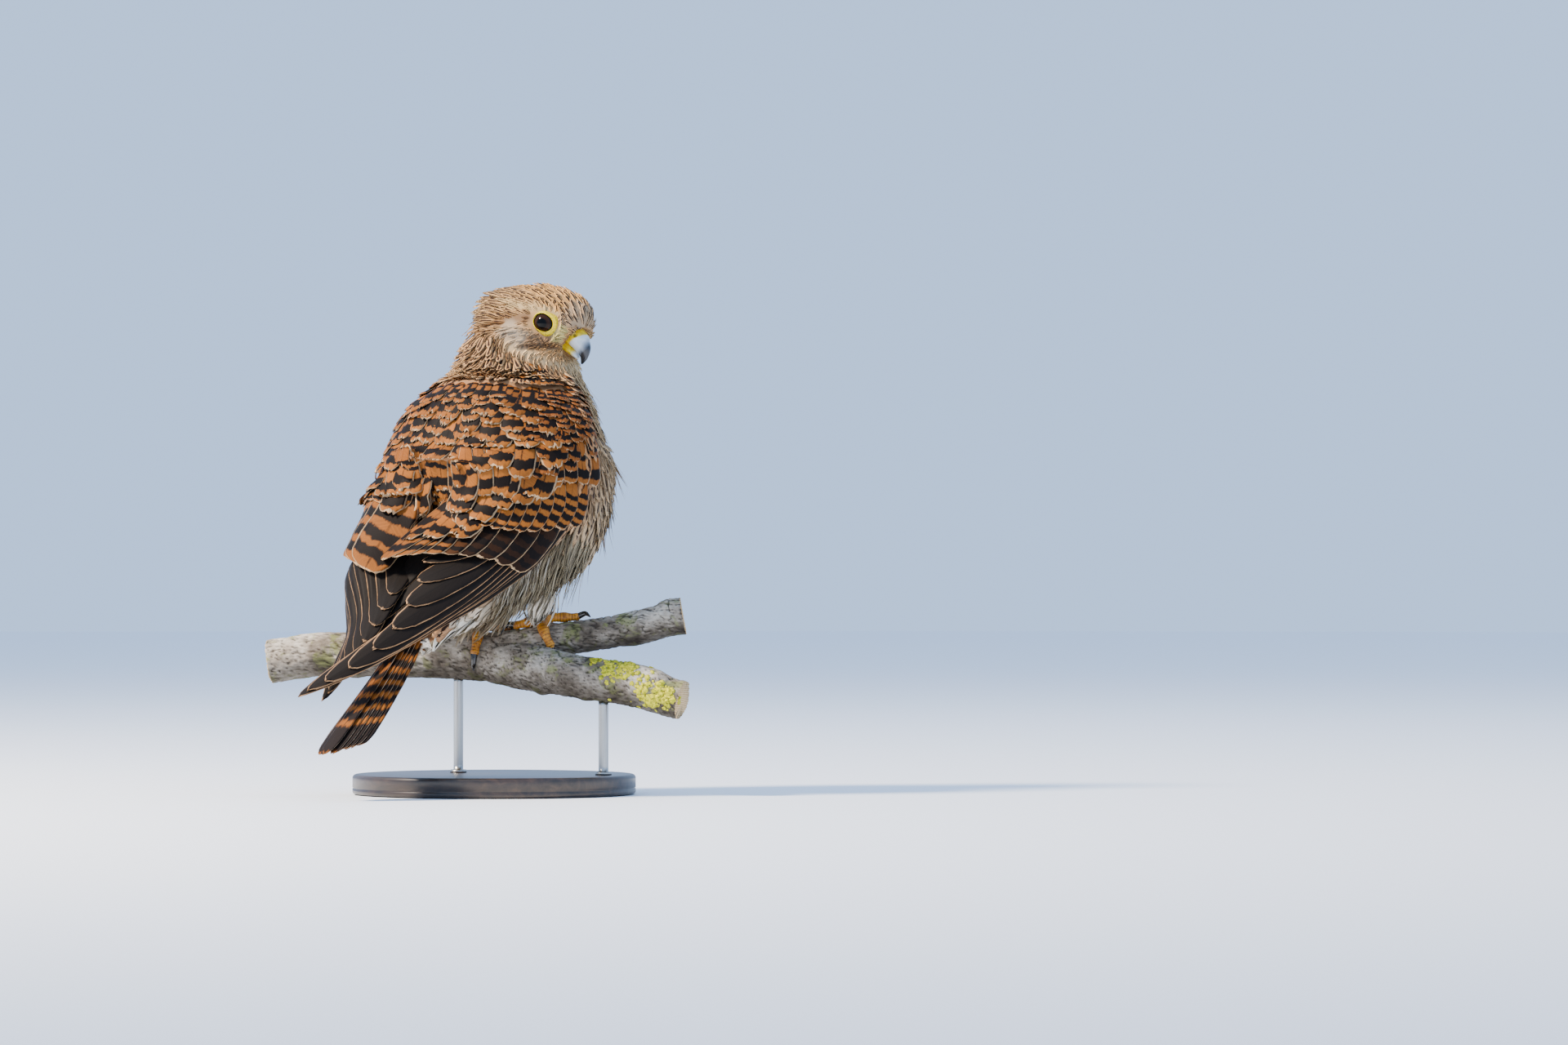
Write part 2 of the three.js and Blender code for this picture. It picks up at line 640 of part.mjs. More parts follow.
// Stand
function stand() {
  const profile = [
    [0, 0],
    [BASE.radius - BASE.foot, 0],
    [BASE.radius, BASE.foot],
    [BASE.radius, BASE.height - BASE.edge],
    [BASE.radius - BASE.edge, BASE.height],
    [0, BASE.height],
  ].map(([x, y]) => new THREE.Vector2(x, y));
  const disc = new THREE.LatheGeometry(profile, BASE.sides);
  disc.rotateX(Math.PI / 2);
  return solid(disc);
}
function rod(across, away) {
  const from = BASE.height + GAP;
  const geometry = new THREE.CylinderGeometry(ROD.radius, ROD.radius, ROD.top - from, ROD.sides, 1);
  geometry.rotateX(Math.PI / 2);
  const { x, y } = place(across, away, 0);
  geometry.translate(x, y, (from + ROD.top) / 2);
  return solid(geometry).subtract(aroundPerch);
}

const aroundHead = headForm(GAP + 2 * TOLERANCE);
const torso = joined([trunkLength(NECK_END + GAP + 2 * TOLERANCE, TORSO_END), mantle()]).subtract(aroundHead);
const neck = trunkLength(0, NECK_END, 0, 28, 3).subtract(aroundHead);
const aroundTorso = joined([trunkLength(NECK_END, TORSO_END + GAP, GAP), mantle(GAP)]);

add("stand_base", stand(), "#2b2724", 0.5);
add("stand_rod_left", rod(-19, 19.6), "#8d8a84", 0.35, 0.9);
add("stand_rod_right", rod(56, -20), "#8d8a84", 0.35, 0.9);
add("branch_stem", stem(), "#a39a8c");
add("branch_arm", arm().subtract(stem(GAP)), "#a39a8c");
add("torso", torso, "#b9a184");
add("neck", neck, "#b0926c");
add("head", head(), "#ab8a62");
const nostrils = [1, -1].map((side) => ball(inHead(NOSTRIL.forward, NOSTRIL.up, side * NOSTRIL.right), NOSTRIL.radius, 12));
add("bill_upper", wasm.Manifold.difference([upperBill(), ...nostrils]), "#b9bcc0", 0.4);
add("bill_lower", lowerBill().subtract(upperBill(GAP + TOLERANCE)), "#c7b46a", 0.4);
for (const [name, side] of [["eye_right", 1], ["eye_left", -1]]) {
  add(name, ball(eyeAt(side), EYE.radius), "#1a1210", 0.1);
}
add("wing_right", wing(1).subtract(aroundTorso), "#9a6238");
add("wing_left", wing(-1).subtract(aroundTorso), "#9a6238");
add("tail", tail(), "#a8683c");
for (const name of ["right", "left"]) {
  const thigh = (grow = 0) => tube(THIGH[name], 16, 10, grow);
  const claws = (grow = 0) => FEET[name].claws.map((rows) => tube(onRows(rows), 6, 5, grow));
  const bare = wasm.Manifold.difference([foot(name), thigh(GAP), aroundPerch, aroundTorso, ...claws(GAP + TOLERANCE)]);
  add(`thigh_${name}`, thigh().subtract(aroundTorso).subtract(aroundPerch), "#c9bda6");
  add(`foot_${name}`, bare, "#c98a1e", 0.6);
  claws().forEach((claw, k) => add(`claw_${name}_${k + 1}`, claw.subtract(aroundPerch), "#17150f", 0.3));
}

export default model;
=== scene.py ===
# %% [markdown]
# # A common kestrel on a forked branch
# The model is a life-size museum bird: a female kestrel that looks back over its right shoulder. The solids
# of the frame give the true outline. This lesson dresses them: a skin, a coat of small feathers, wing and
# tail feathers with their bars, the bare parts of head and feet, the bark and the stand. All lengths in the
# tables are millimetres, as a maker would measure them, and MM turns them into metres.

import bmesh
import bpy
import numpy as np
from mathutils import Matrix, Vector, noise
from mathutils.bvhtree import BVHTree
from mathutils.kdtree import KDTree


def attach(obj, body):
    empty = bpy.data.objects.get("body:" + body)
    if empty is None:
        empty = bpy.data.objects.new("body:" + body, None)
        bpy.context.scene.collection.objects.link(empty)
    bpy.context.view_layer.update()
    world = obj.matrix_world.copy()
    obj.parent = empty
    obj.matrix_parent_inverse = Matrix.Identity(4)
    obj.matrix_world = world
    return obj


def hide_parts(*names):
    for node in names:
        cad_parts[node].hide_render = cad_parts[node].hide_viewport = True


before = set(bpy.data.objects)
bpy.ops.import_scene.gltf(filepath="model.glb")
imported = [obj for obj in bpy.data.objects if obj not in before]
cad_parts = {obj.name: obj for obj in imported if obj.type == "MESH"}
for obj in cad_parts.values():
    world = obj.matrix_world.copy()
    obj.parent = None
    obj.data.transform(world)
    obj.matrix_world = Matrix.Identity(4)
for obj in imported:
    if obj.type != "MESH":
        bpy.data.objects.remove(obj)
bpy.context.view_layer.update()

MM = 0.001
RIGHT = -1
BODY = "root"
VIEW = np.radians(218)
VIEW_TURN = VIEW - np.pi
chance = np.random.default_rng(11)

# %% [markdown]
# ## Colours and nodes
# Paint is mixed from screen colours, which Blender wants as linear light, so one function turns them. A
# second small function adds a shader node, sets it and links it, so each material reads as a recipe.

# %% Colour and node helpers
def linear(code):
    """Linear red, green and blue of a screen colour such as #aa8855."""
    parts = [int(code[k:k + 2], 16) / 255 for k in (1, 3, 5)]
    return tuple(((c + 0.055) / 1.055) ** 2.4 if c > 0.04045 else c / 12.92 for c in parts)


def paint(code):
    return (*linear(code), 1.0)


def feed(made, inputs):
    """Sets a node's inputs to values, or links them to sockets or to the first output of other nodes."""
    for key, value in inputs.items():
        if isinstance(value, bpy.types.Node):
            value = next(socket for socket in value.outputs if socket.enabled)
        if isinstance(value, bpy.types.NodeSocket):
            made.id_data.links.new(value, made.inputs[key])
        else:
            made.inputs[key].default_value = value


def node(tree, kind, inputs=(), stops=(), **settings):
    """Adds a shader node with its inputs and settings; a colour ramp has stops of place and colour too."""
    made = tree.nodes.new("ShaderNode" + kind)
    for name, value in settings.items():
        setattr(made, name, value)
    feed(made, dict(inputs))
    points = made.color_ramp.elements if stops else []
    while len(points) < len(stops):
        points.new(0.5)
    for point, (place, colour) in zip(points, stops):
        point.position = place
        point.color = paint(colour) if isinstance(colour, str) else colour
    return made


def new_material(name, roughness=0.6, **sockets):
    """A material with its Principled shader's own sockets set."""
    material = bpy.data.materials.new(name)
    material.use_nodes = True
    shader = material.node_tree.nodes["Principled BSDF"]
    shader.inputs["Roughness"].default_value = roughness
    for key, value in sockets.items():
        shader.inputs[key.replace("_", " ")].default_value = value
    return material, material.node_tree, shader


GREY = [(k / 10, k / 10, k / 10, 1.0) for k in range(11)]
BLACK, WHITE = GREY[0], GREY[10]
print("helpers ready")

# %% [markdown]
# ## Charts
# A bird's trunk is a rounded form along a bent axis. A chart turns three easy numbers into a point: how far
# along the axis, how many degrees round from the middle of the back towards the bird's right, and how high
# above the surface. Feathers can then be laid out in rows as on a flat drawing.

# %% Smooth rows and charts
def smooth(rows, places):
    """Reads a table at any place between its rows, on a smooth curve through them."""
    rows = np.asarray(rows, float)
    last = len(rows) - 1
    at = np.clip(np.asarray(places, float), 0, last)
    i = np.minimum(at.astype(int), last - 1)
    s = (at - i)[:, None]
    a, b, c, d = (rows[np.clip(i + k, 0, last)] for k in (-1, 0, 1, 2))
    return b + 0.5 * s * (c - a + s * (2 * a - 5 * b + 4 * c - d + s * (3 * (b - c) + d - a)))


def eased(low, high, value):
    t = np.clip((np.asarray(value, float) - low) / (high - low), 0, 1)
    return t * t * (3 - 2 * t)


def unit(vectors):
    return vectors / np.maximum(np.linalg.norm(vectors, axis=-1, keepdims=True), 1e-12)


class Chart:
    """A rounded form along an axis, rows of x, y, z, half width, half depth to the back and to the breast."""

    def __init__(self, rows):
        self.rows = np.array(rows, float)
        self.places = np.arange(20 * (len(rows) - 1) + 1) / 20
        points = smooth(self.rows, self.places)[:, :3]
        steps = np.linalg.norm(np.diff(points, axis=0), axis=1)
        self.run = np.concatenate([[0], np.cumsum(steps)])

    def read(self, along):
        return smooth(self.rows, np.interp(along, self.run, self.places))

    def girth(self, along):
        row = self.read(along)
        return (row[:, 3] + row[:, 4]) / 2

    def at(self, along, degrees, lift=0.0):
        along, degrees, lift = np.broadcast_arrays(*(np.asarray(v, float) for v in (along, degrees, lift)))
        shape = along.shape
        along, degrees, lift = along.ravel(), degrees.ravel(), lift.ravel()
        place = np.interp(along, self.run, self.places)
        row = smooth(self.rows, place)
        ahead = smooth(self.rows, place + 0.05)[:, :3] - smooth(self.rows, place - 0.05)[:, :3]
        down = unit(ahead)
        dorsal = unit(np.cross(down, [RIGHT, 0, 0]))
        right = np.cross(dorsal, down)
        turn = np.radians(degrees)
        depth = np.where(np.cos(turn) > 0, row[:, 4], row[:, 5])
        point = row[:, :3] + right * ((row[:, 3] + lift) * np.sin(turn))[:, None]
        point = point + dorsal * ((depth + lift) * np.cos(turn))[:, None]
        return point.reshape(shape + (3,)) * MM


TRUNK_ROWS = [
    [0, -6, 240, 16, 16, 16], [0, -12, 227, 26, 24, 27], [0, -15, 213, 35, 32, 37], [0, -13, 199, 44, 41, 46],
    [0, -9, 183, 49, 46, 58], [0, -7, 164, 51, 47, 66], [0, 0, 143, 50, 44, 62], [0, 15, 122, 42, 31, 37],
    [0, 35, 102, 27, 18, 23], [0, 57, 84, 17, 9, 10], [0, 82, 63, 14, 5, 5], [0, 107, 42, 14, 3, 3],
    [0, 132, 21, 14, 2, 2],
]
# The folded wings follow a form of their own, bent to the bird's left at their tips
CLOAK_ROWS = TRUNK_ROWS[:7] + [
    [1, 16, 123, 42, 31, 36], [4, 38, 105, 31, 20, 22], [9, 64, 86, 21, 11, 12], [14, 90, 66, 14, 7, 7],
    [19, 113, 48, 9, 5, 5], [23, 134, 33, 7, 4, 4],
]
trunk = Chart(TRUNK_ROWS)
cloak = Chart(CLOAK_ROWS)
print("trunk axis", round(float(trunk.run[-1])), "mm")

# %% [markdown]
# The head has a frame of its own, because it is turned over the right shoulder and bowed: its places are
# millimetres forward to the bill, up, and to the bird's right.

# %% The head's frame
HEAD = {"x": -14, "y": -26, "z": 241.5, "turn": np.radians(87), "bow": np.radians(28)}
FORWARD = np.array([-np.sin(HEAD["turn"]), -np.cos(HEAD["turn"]), 0])
HEAD_RIGHT = np.array([-np.cos(HEAD["turn"]), np.sin(HEAD["turn"]), 0])
HEAD_MIDDLE = np.array([HEAD["x"], HEAD["y"], HEAD["z"]])


def in_head(forward, up, right):
    """A point from its place in the head's frame."""
    forward, up, right = np.broadcast_arrays(*(np.asarray(v, float) for v in (forward, up, right)))
    level = forward * np.cos(HEAD["bow"]) + up * np.sin(HEAD["bow"])
    rise = up * np.cos(HEAD["bow"]) - forward * np.sin(HEAD["bow"])
    point = HEAD_MIDDLE + level[..., None] * FORWARD + right[..., None] * HEAD_RIGHT
    return (point + rise[..., None] * np.array([0, 0, 1])) * MM


def head_place(points):
    """Forward, up and right, in millimetres, of points in the head's frame."""
    away = points / MM - HEAD_MIDDLE
    level, right, rise = away @ FORWARD, away @ HEAD_RIGHT, away[..., 2]
    bow = HEAD["bow"]
    return level * np.cos(bow) - rise * np.sin(bow), level * np.sin(bow) + rise * np.cos(bow), right


def head_distance(points):
    """Millimetres from the head's middle."""
    return np.linalg.norm(points / MM - HEAD_MIDDLE, axis=-1)


print("head middle", in_head(0, 0, 0))

# %% [markdown]
# ## Sheets and round forms
# Every soft form here is a grid that is bent into place. The grid comes from Blender's own operator, and
# each corner is moved by a rule. A round form is a grid rolled up, with its seam welded and its ends
# closed.

# %% Grid helpers
def sheet(place, across, along):
    """A grid with each corner moved by place(a, b), where a and b run from 0 to 1."""
    bm = bmesh.new()
    bmesh.ops.create_grid(bm, x_segments=across, y_segments=along, size=0.5)
    corners = np.array([v.co for v in bm.verts])
    for vertex, point in zip(bm.verts, place(corners[:, 0] + 0.5, corners[:, 1] + 0.5)):
        vertex.co = point
    return bm


def welded(bm):
    """Joins the corners that lie on one another, and turns the faces outwards."""
    bmesh.ops.remove_doubles(bm, verts=bm.verts[:], dist=1e-6)
    bmesh.ops.recalc_face_normals(bm, faces=bm.faces[:])
    return bm


def round_form(place, around, along):
    """A closed form: place(t, turn, share) is the point t along, turn radians round, share of the radius."""
    def rolled(a, b):
        row = b * (along + 2)
        t = np.clip((row - 1) / along, 0, 1)
        share = np.where((row < 0.5) | (row > along + 1.5), 0.0, 1.0)
        return place(t, a * 2 * np.pi, share)

    return welded(sheet(rolled, around, along + 2))


def tube(rows, around, along, ripple=None):
    """A round tube through rows of x, y, z, radius; ripple(t, turn) adds to the radius."""
    rows = np.asarray(rows, float)
    last = len(rows) - 1

    def place(t, turn, share):
        row = smooth(rows, t * last)
        ahead = unit(smooth(rows, t * last + 0.05)[:, :3] - smooth(rows, t * last - 0.05)[:, :3])
        steep = np.abs(ahead[:, 2:3]) > 0.9
        side = unit(np.cross(ahead, np.where(steep, [1.0, 0, 0], [0, 0, 1.0])))
        up = np.cross(side, ahead)
        radius = row[:, 3] + (ripple(t, turn) if ripple else 0)
        reach = (radius * share)[:, None]
        return (row[:, :3] + side * reach * np.sin(turn)[:, None] + up * reach * np.cos(turn)[:, None]) * MM

    return round_form(place, around, along)


def head_tube(rows, around, along, ripple=None):
    """A curved form in the head's frame, rows of forward, up, right, half height, half width."""
    rows = np.asarray(rows, float)
    last = len(rows) - 1

    def place(t, turn, share):
        row = smooth(rows, t * last)
        step = smooth(rows, t * last + 0.05)[:, :2] - smooth(rows, t * last - 0.05)[:, :2]
        df, du = unit(step).T
        swell = ripple(row[:, 0], turn) if ripple else 0
        rise = (row[:, 3] + swell) * share * np.cos(turn)
        out = (row[:, 4] + swell) * share * np.sin(turn)
        return in_head(row[:, 0] - du * rise, row[:, 1] + df * rise, row[:, 2] + out)

    return round_form(place, around, along)


def finished(mesh, material):
    """Makes a visible piece of a mesh, which rides on the body and takes its finish from a slot."""
    mesh.materials.append(material)
    mesh.shade_smooth()
    piece = bpy.data.objects.new(mesh.name, mesh)
    bpy.context.scene.collection.objects.link(piece)
    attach(piece, BODY)
    print(mesh.name, len(mesh.polygons), "faces")
    return piece


def shown(bm, name, material):
    """The same for a bmesh."""
    mesh = bpy.data.meshes.new(name)
    bm.to_mesh(mesh)
    bm.free()
    return finished(mesh, material)


print("grid helpers ready")

# %% [markdown]
# ## The skin
# Under its feathers a bird is one smooth body. The trunk, head, thighs and folded arms are made as closed
# forms, laid into one another and remeshed as one skin, so that no seam shows where they join. It is then
# drawn in by the depth of the coat, so that the tips of the small feathers reach the true outline.

# %% The forms of the flesh
HEAD_ROWS = [
    [-36, -14, 6, 8], [-32, -13, 12, 14], [-24, -10, 17.5, 20], [-12, -4.7, 19.7, 22], [0, -1.5, 20.3, 20.3],
    [9, -0.2, 19.8, 17], [17.5, 0.9, 17.2, 14.2], [22, 1.3, 13, 11], [23.8, 0.7, 9, 8], [24.3, 0.2, 5, 5],
]
EYE = {"forward": 8, "up": 1.8, "right": 12.8, "radius": 6.3}
THIGHS = {
    "right": [[-25, 4, 124, 16], [-22, -4, 113, 13.5], [-19, -12, 103, 10], [-17.5, -17.5, 96, 6.5]],
    "left": [[26, 6, 124, 17], [23, 0, 112, 16], [18, -5, 102, 11.5], [16, -8.5, 93.5, 6.5]],
}
MANTLE = {"half": 9, "lift": 10, "from": 54, "to": 124, "rise": 38, "fall": 20}
SLANT = 0.42
OUTER = 86
CORE = {"inner": 9.5, "outer": 97, "from": 28, "to": 121}
CORE_TOP = [[26, 1], [36, 3.5], [48, 8.8], [58, 12.2], [70, 12.8], [80, 11.8], [90, 10], [100, 8], [108, 6],
            [116, 4], [122, 2]]
SKIN_END = 196
LEFT_FLARE = 17


def flare_at(along, degrees):
    """How far the left wing's inner feathers stand out from the body, as the photograph's outline shows."""
    return LEFT_FLARE * eased(92, 140, along) * eased(5, 45, degrees)


def trunk_form():
    def place(t, turn, share):
        along = SKIN_END * t
        middle = (trunk.at(along, 0) + trunk.at(along, 180)) / 2
        return middle + (trunk.at(along, np.degrees(turn)) - middle) * share[:, None]

    return round_form(place, 72, 90)


def head_form():
    def place(t, turn, share):
        forward, up, high, wide = smooth(HEAD_ROWS, t * (len(HEAD_ROWS) - 1)).T
        return in_head(forward, up + high * share * np.cos(turn), wide * share * np.sin(turn))

    return round_form(place, 64, 48)


def core_form(sign):
    """The folded arm and its bulk of covert roots: thick in the middle, thin at its borders."""
    def place(t, turn, share):
        wide = 0.5 + 0.5 * np.cos(turn)
        degrees = CORE["inner"] + (CORE["outer"] - CORE["inner"]) * wide
        reach = CORE["from"] + (CORE["to"] - CORE["from"]) * t
        border = np.sqrt(eased(0, 0.12, 1 - wide)) * (0.96 + 0.04 * eased(0, 0.2, wide))
        top = 1.1 + np.maximum(0, np.interp(reach, *np.transpose(CORE_TOP)) - 1.1) * border
        along = reach + SLANT * (OUTER - degrees)
        if sign == -1:
            top = top + flare_at(along, degrees)
        lift = np.where(np.sin(turn) > 0, top, 0.3) * share
        return cloak.at(along, sign * degrees, lift)

    return round_form(place, 48, 40)


def mantle_form():
    def place(t, turn, share):
        along = MANTLE["from"] + (MANTLE["to"] - MANTLE["from"]) * t
        rise = eased(MANTLE["from"], MANTLE["from"] + MANTLE["rise"], along)
        height = 0.5 + MANTLE["lift"] * rise * eased(MANTLE["to"], MANTLE["to"] - MANTLE["fall"], along)
        lift = np.where(np.cos(turn) > 0, height, -3) * share
        return trunk.at(along, MANTLE["half"] * 1.5 * np.sin(turn), lift)

    return round_form(place, 24, 40)


flesh = [trunk_form(), head_form(), mantle_form(), core_form(1), core_form(-1)]
flesh += [tube(rows, 32, 24) for rows in THIGHS.values()]
for side in (1, -1):
    brow = [[15, 5, side * 9.5, 1.2, 2], [9, 8.2, side * 12.8, 2.3, 3.3], [1, 8.4, side * 14.8, 1.8, 3]]
    flesh.append(head_tube(brow, 12, 10))
print("forms of the flesh", len(flesh))

# %% One skin from the forms
SKIN_VOXEL = 1.1 * MM


def remeshed(forms, voxel, rounds):
    """Joins closed forms into one mesh by a voxel remesh, and smooths it."""
    whole = bpy.data.meshes.new("whole")
    joined = bmesh.new()
    for form in forms:
        part = bpy.data.meshes.new("form")
        form.to_mesh(part)
        form.free()
        joined.from_mesh(part)
        bpy.data.meshes.remove(part)
    joined.to_mesh(whole)
    joined.free()
    holder = bpy.data.objects.new("holder", whole)
    bpy.context.scene.collection.objects.link(holder)
    remesh = holder.modifiers.new("remesh", "REMESH")
    remesh.mode = "VOXEL"
    remesh.voxel_size = voxel
    soft = holder.modifiers.new("soft", "SMOOTH")
    soft.factor = 0.5
    soft.iterations = rounds
    bpy.context.view_layer.update()
    result = bpy.data.meshes.new_from_object(holder.evaluated_get(bpy.context.evaluated_depsgraph_get()))
    bpy.data.objects.remove(holder)
    return result


def points_of(mesh):
    flat = np.empty(len(mesh.vertices) * 3)
    mesh.vertices.foreach_get("co", flat)
    return flat.reshape(-1, 3)


def normals_of(mesh):
    flat = np.empty(len(mesh.vertices) * 3)
    mesh.vertex_normals.foreach_get("vector", flat)
    return flat.reshape(-1, 3)


skin_mesh = remeshed(flesh, SKIN_VOXEL, 8)
points = points_of(skin_mesh)
forward, up, right = head_place(points)
on_face = eased(26, 16, np.sqrt((forward - 12) ** 2 + (up + 2) ** 2 + (np.abs(right) - 6) ** 2))
on_head = eased(38, 28, head_distance(points))
coat_depth = (2.4 - 1.0 * on_head - 0.7 * on_face) * MM
points = points - normals_of(skin_mesh) * coat_depth[:, None]


def bill_rim(up, right):
    """Distance from the bill's root seen from the front, 1 at its edge."""
    return np.hypot((up + 2.4) / 7.6, right / 8.0)


# the face is hollowed round the root of the bill, where only bristles grow
forward, up, right = head_place(points)
hollow = eased(1.35, 0.8, bill_rim(up, right)) * eased(11, 16, forward)
deeper = forward * (1 - hollow) + np.minimum(forward, 17.4) * hollow
points = in_head(deeper, up, right)
skin_mesh.vertices.foreach_set("co", points.ravel())
skin_mesh.update()
print("skin", len(skin_mesh.polygons), "faces")

# %% [markdown]
# ## Where a point lies, and the lie of the coat
# Feathers all point away from the bill: over the crown to the nape, down the back to the tail and down the
# legs. To know this at any point of the skin, the chart is sampled densely, and the nearest sample tells
# how far along and how far round the point is, and which way the feathers run there.

# %% Nearest places on a chart
class Lookup:
    def __init__(self, chart, end):
        along, degrees = np.meshgrid(np.arange(0, end, 2.0), np.arange(-180, 180, 3.0), indexing="ij")
        self.along, self.degrees = along.ravel(), degrees.ravel()
        self.places = chart.at(self.along, self.degrees)
        self.ahead = unit(chart.at(self.along + 1, self.degrees) - chart.at(self.along - 1, self.degrees))
        self.outward = unit(chart.at(self.along, self.degrees, 4) - self.places)
        self.tree = KDTree(len(self.places))
        for k, place in enumerate(self.places):
            self.tree.insert(place, k)
        self.tree.balance()

    def nearest(self, wanted):
        return np.array([self.tree.find(p)[1] for p in wanted], int)


TRUNK_END = 270
on_trunk = Lookup(trunk, TRUNK_END)
on_cloak = Lookup(cloak, 240)
BILL_BASE = in_head(19, 2, 0)
THIGH_ENDS = [np.array([rows[0][:3], rows[-1][:3]]) * MM for rows in THIGHS.values()]


def thigh_share(wanted):
    """1 on the legs' trousers, 0 on the trunk."""
    share = np.zeros(len(wanted))
    for low, high in THIGH_ENDS:
        axis = high - low
        t = np.clip(((wanted - low) @ axis) / (axis @ axis), 0, 1)
        gap = np.linalg.norm(wanted - (low + t[:, None] * axis), axis=1) / MM
        share = np.maximum(share, eased(21, 15, gap) * eased(0.2, 0.5, t))
    return share


def lie(wanted, index=None):
    """The way that the coat runs at each point."""
    index = on_trunk.nearest(wanted) if index is None else index
    body_way = on_trunk.ahead[index]
    head_way = unit(wanted - BILL_BASE)
    share = eased(38, 27, head_distance(wanted))[:, None]
    forward, up, right = head_place(wanted)
    eye_side = np.where(right > 0, 1.0, -1.0)[:, None]
    eye_middle = in_head(EYE["forward"], EYE["up"], 0) + eye_side * EYE["right"] * HEAD_RIGHT * MM
    eye_gap = np.hypot(forward - EYE["forward"], up - EYE["up"])
    head_way = unit(head_way + unit(wanted - eye_middle) * 1.8 * eased(12, 6.5, eye_gap)[:, None])
    leg = thigh_share(wanted)[:, None]
    way = unit(body_way * (1 - share) + head_way * share)
    return unit(way * (1 - leg) + np.array([0.0, 0.12, -1.0]) * leg)


print("lie of the coat ready")

# %% The walk over a surface
def surface_of(*meshes):
    """One search tree over the faces of several meshes."""
    corners, faces = [], []
    for mesh in meshes:
        start = len(corners)
        corners += [v.co.copy() for v in mesh.vertices]
        faces += [[start + k for k in face.vertices] for face in mesh.polygons]
    return BVHTree.FromPolygons(corners, faces)


def march(roots, lengths, surface, way, outward=None, steps=6):
    """Walks over a surface from each root, for a feather's length, along the lie of the coat."""
    count = len(roots)
    path = np.empty((count, steps + 1, 3))
    out = np.empty((count, steps + 1, 3))
    point = roots.copy()
    for k in range(steps + 1):
        for n in range(count):
            place, normal, _, _ = surface.find_nearest(point[n])
            path[n, k] = place
            out[n, k] = normal
        if outward is not None:
            away = outward(path[:, k])
            out[:, k] *= np.sign((out[:, k] * away).sum(1))[:, None]
        ahead = way(path[:, k])
        ahead = unit(ahead - out[:, k] * (ahead * out[:, k]).sum(1)[:, None])
        point = path[:, k] + ahead * (lengths / steps)[:, None]
    return path, out


skin_surface = surface_of(skin_mesh)
print("skin is searchable")

# %% [markdown]
# ## Blank feathers
# A feather is a shaft with a vane on each side. The blank is a small grid folded double and welded at its
# rim, so each feather is a closed, very thin body. Hundreds of copies are then laid at once: every copy is
# bent along its own path, its width follows an outline, and its tip is frayed a little, by a seeded chance.

# %% The blank and the joined mesh of many feathers
class Blank:
    """A doubled grid: x from -1 to 1 across, s from 0 at the root to 1 at the tip, z 1 above and -1 below."""

    def __init__(self, across, along, crowd=1.0):
        bm = bmesh.new()
        bmesh.ops.create_grid(bm, x_segments=across, y_segments=along, size=1)
        copied = bmesh.ops.duplicate(bm, geom=bm.verts[:] + bm.edges[:] + bm.faces[:])["geom"]
        under = [g for g in copied if isinstance(g, bmesh.types.BMVert)]
        bmesh.ops.reverse_faces(bm, faces=[g for g in copied if isinstance(g, bmesh.types.BMFace)])
        for side, group in ((-1, under), (1, list(set(bm.verts) - set(under)))):
            for vertex in group:
                rim = max(abs(vertex.co.x), abs(vertex.co.y)) > 0.999
                vertex.co.z = 0 if rim else side
        bmesh.ops.remove_doubles(bm, verts=bm.verts[:], dist=1e-4)
        bm.verts.index_update()
        corners = np.array([v.co for v in bm.verts])
        self.x, self.z = corners[:, 0], corners[:, 2]
        self.s = 1 - (0.5 - 0.5 * corners[:, 1]) ** crowd
        self.faces = np.array([[v.index for v in face.verts] for face in bm.faces])
        bm.free()


def joined_mesh(name, blank, places, marks, tint, edge, patch):
    """One mesh of all copies of a blank, with the maps and marks that its paint reads."""
    count, size = places.shape[:2]
    faces = (blank.faces[None] + (np.arange(count) * size)[:, None, None]).reshape(-1, 4)
    mesh = bpy.data.meshes.new(name)
    mesh.vertices.add(count * size)
    mesh.vertices.foreach_set("co", places.ravel())
    mesh.loops.add(faces.size)
    mesh.loops.foreach_set("vertex_index", faces.ravel())
    mesh.polygons.add(len(faces))
    mesh.polygons.foreach_set("loop_start", np.arange(0, faces.size, 4))
    mesh.update(calc_edges=True)
    corner = faces.ravel()
    for label, flat in (("OFBake", patch_map(blank, patch)), ("vane", vane_map(blank, count))):
        layer = mesh.uv_layers.new(name=label)
        layer.data.foreach_set("uv", flat.reshape(-1, 2)[corner].ravel())
    for label, values in (("tint", tint), ("marks", marks)):
        spread = np.repeat(values[:, None], size, axis=1)
        mesh.attributes.new(label, "FLOAT_COLOR", "POINT").data.foreach_set("color", spread.ravel())
    mesh.attributes.new("edge", "FLOAT", "POINT").data.foreach_set("value", edge.ravel())
    return mesh


print("blank feathers ready")

# %% Feathers laid along paths
def outline_of(shape, s):
    rows = np.array(shape)
    return np.interp(s, rows[:, 0], rows[:, 1])


def vane_map(blank, count):
    """How far across and along its feather each corner is."""
    return np.tile(np.stack([(blank.x + 1) / 2, blank.s], -1), (count, 1, 1))


def patch_map(blank, patch):
    """Each feather's patch of the bake map, from rows of corner u, v and size u, v."""
    return patch[:, None, :2] + patch[:, None, 2:] * vane_map(blank, 1)


def rim_gap(blank, width, length):
    """Millimetres from each corner to the vane's nearest edge, by which the paint lays the fringe."""
    return np.minimum((1 - np.abs(blank.x)) * width, (1 - blank.s) * length)


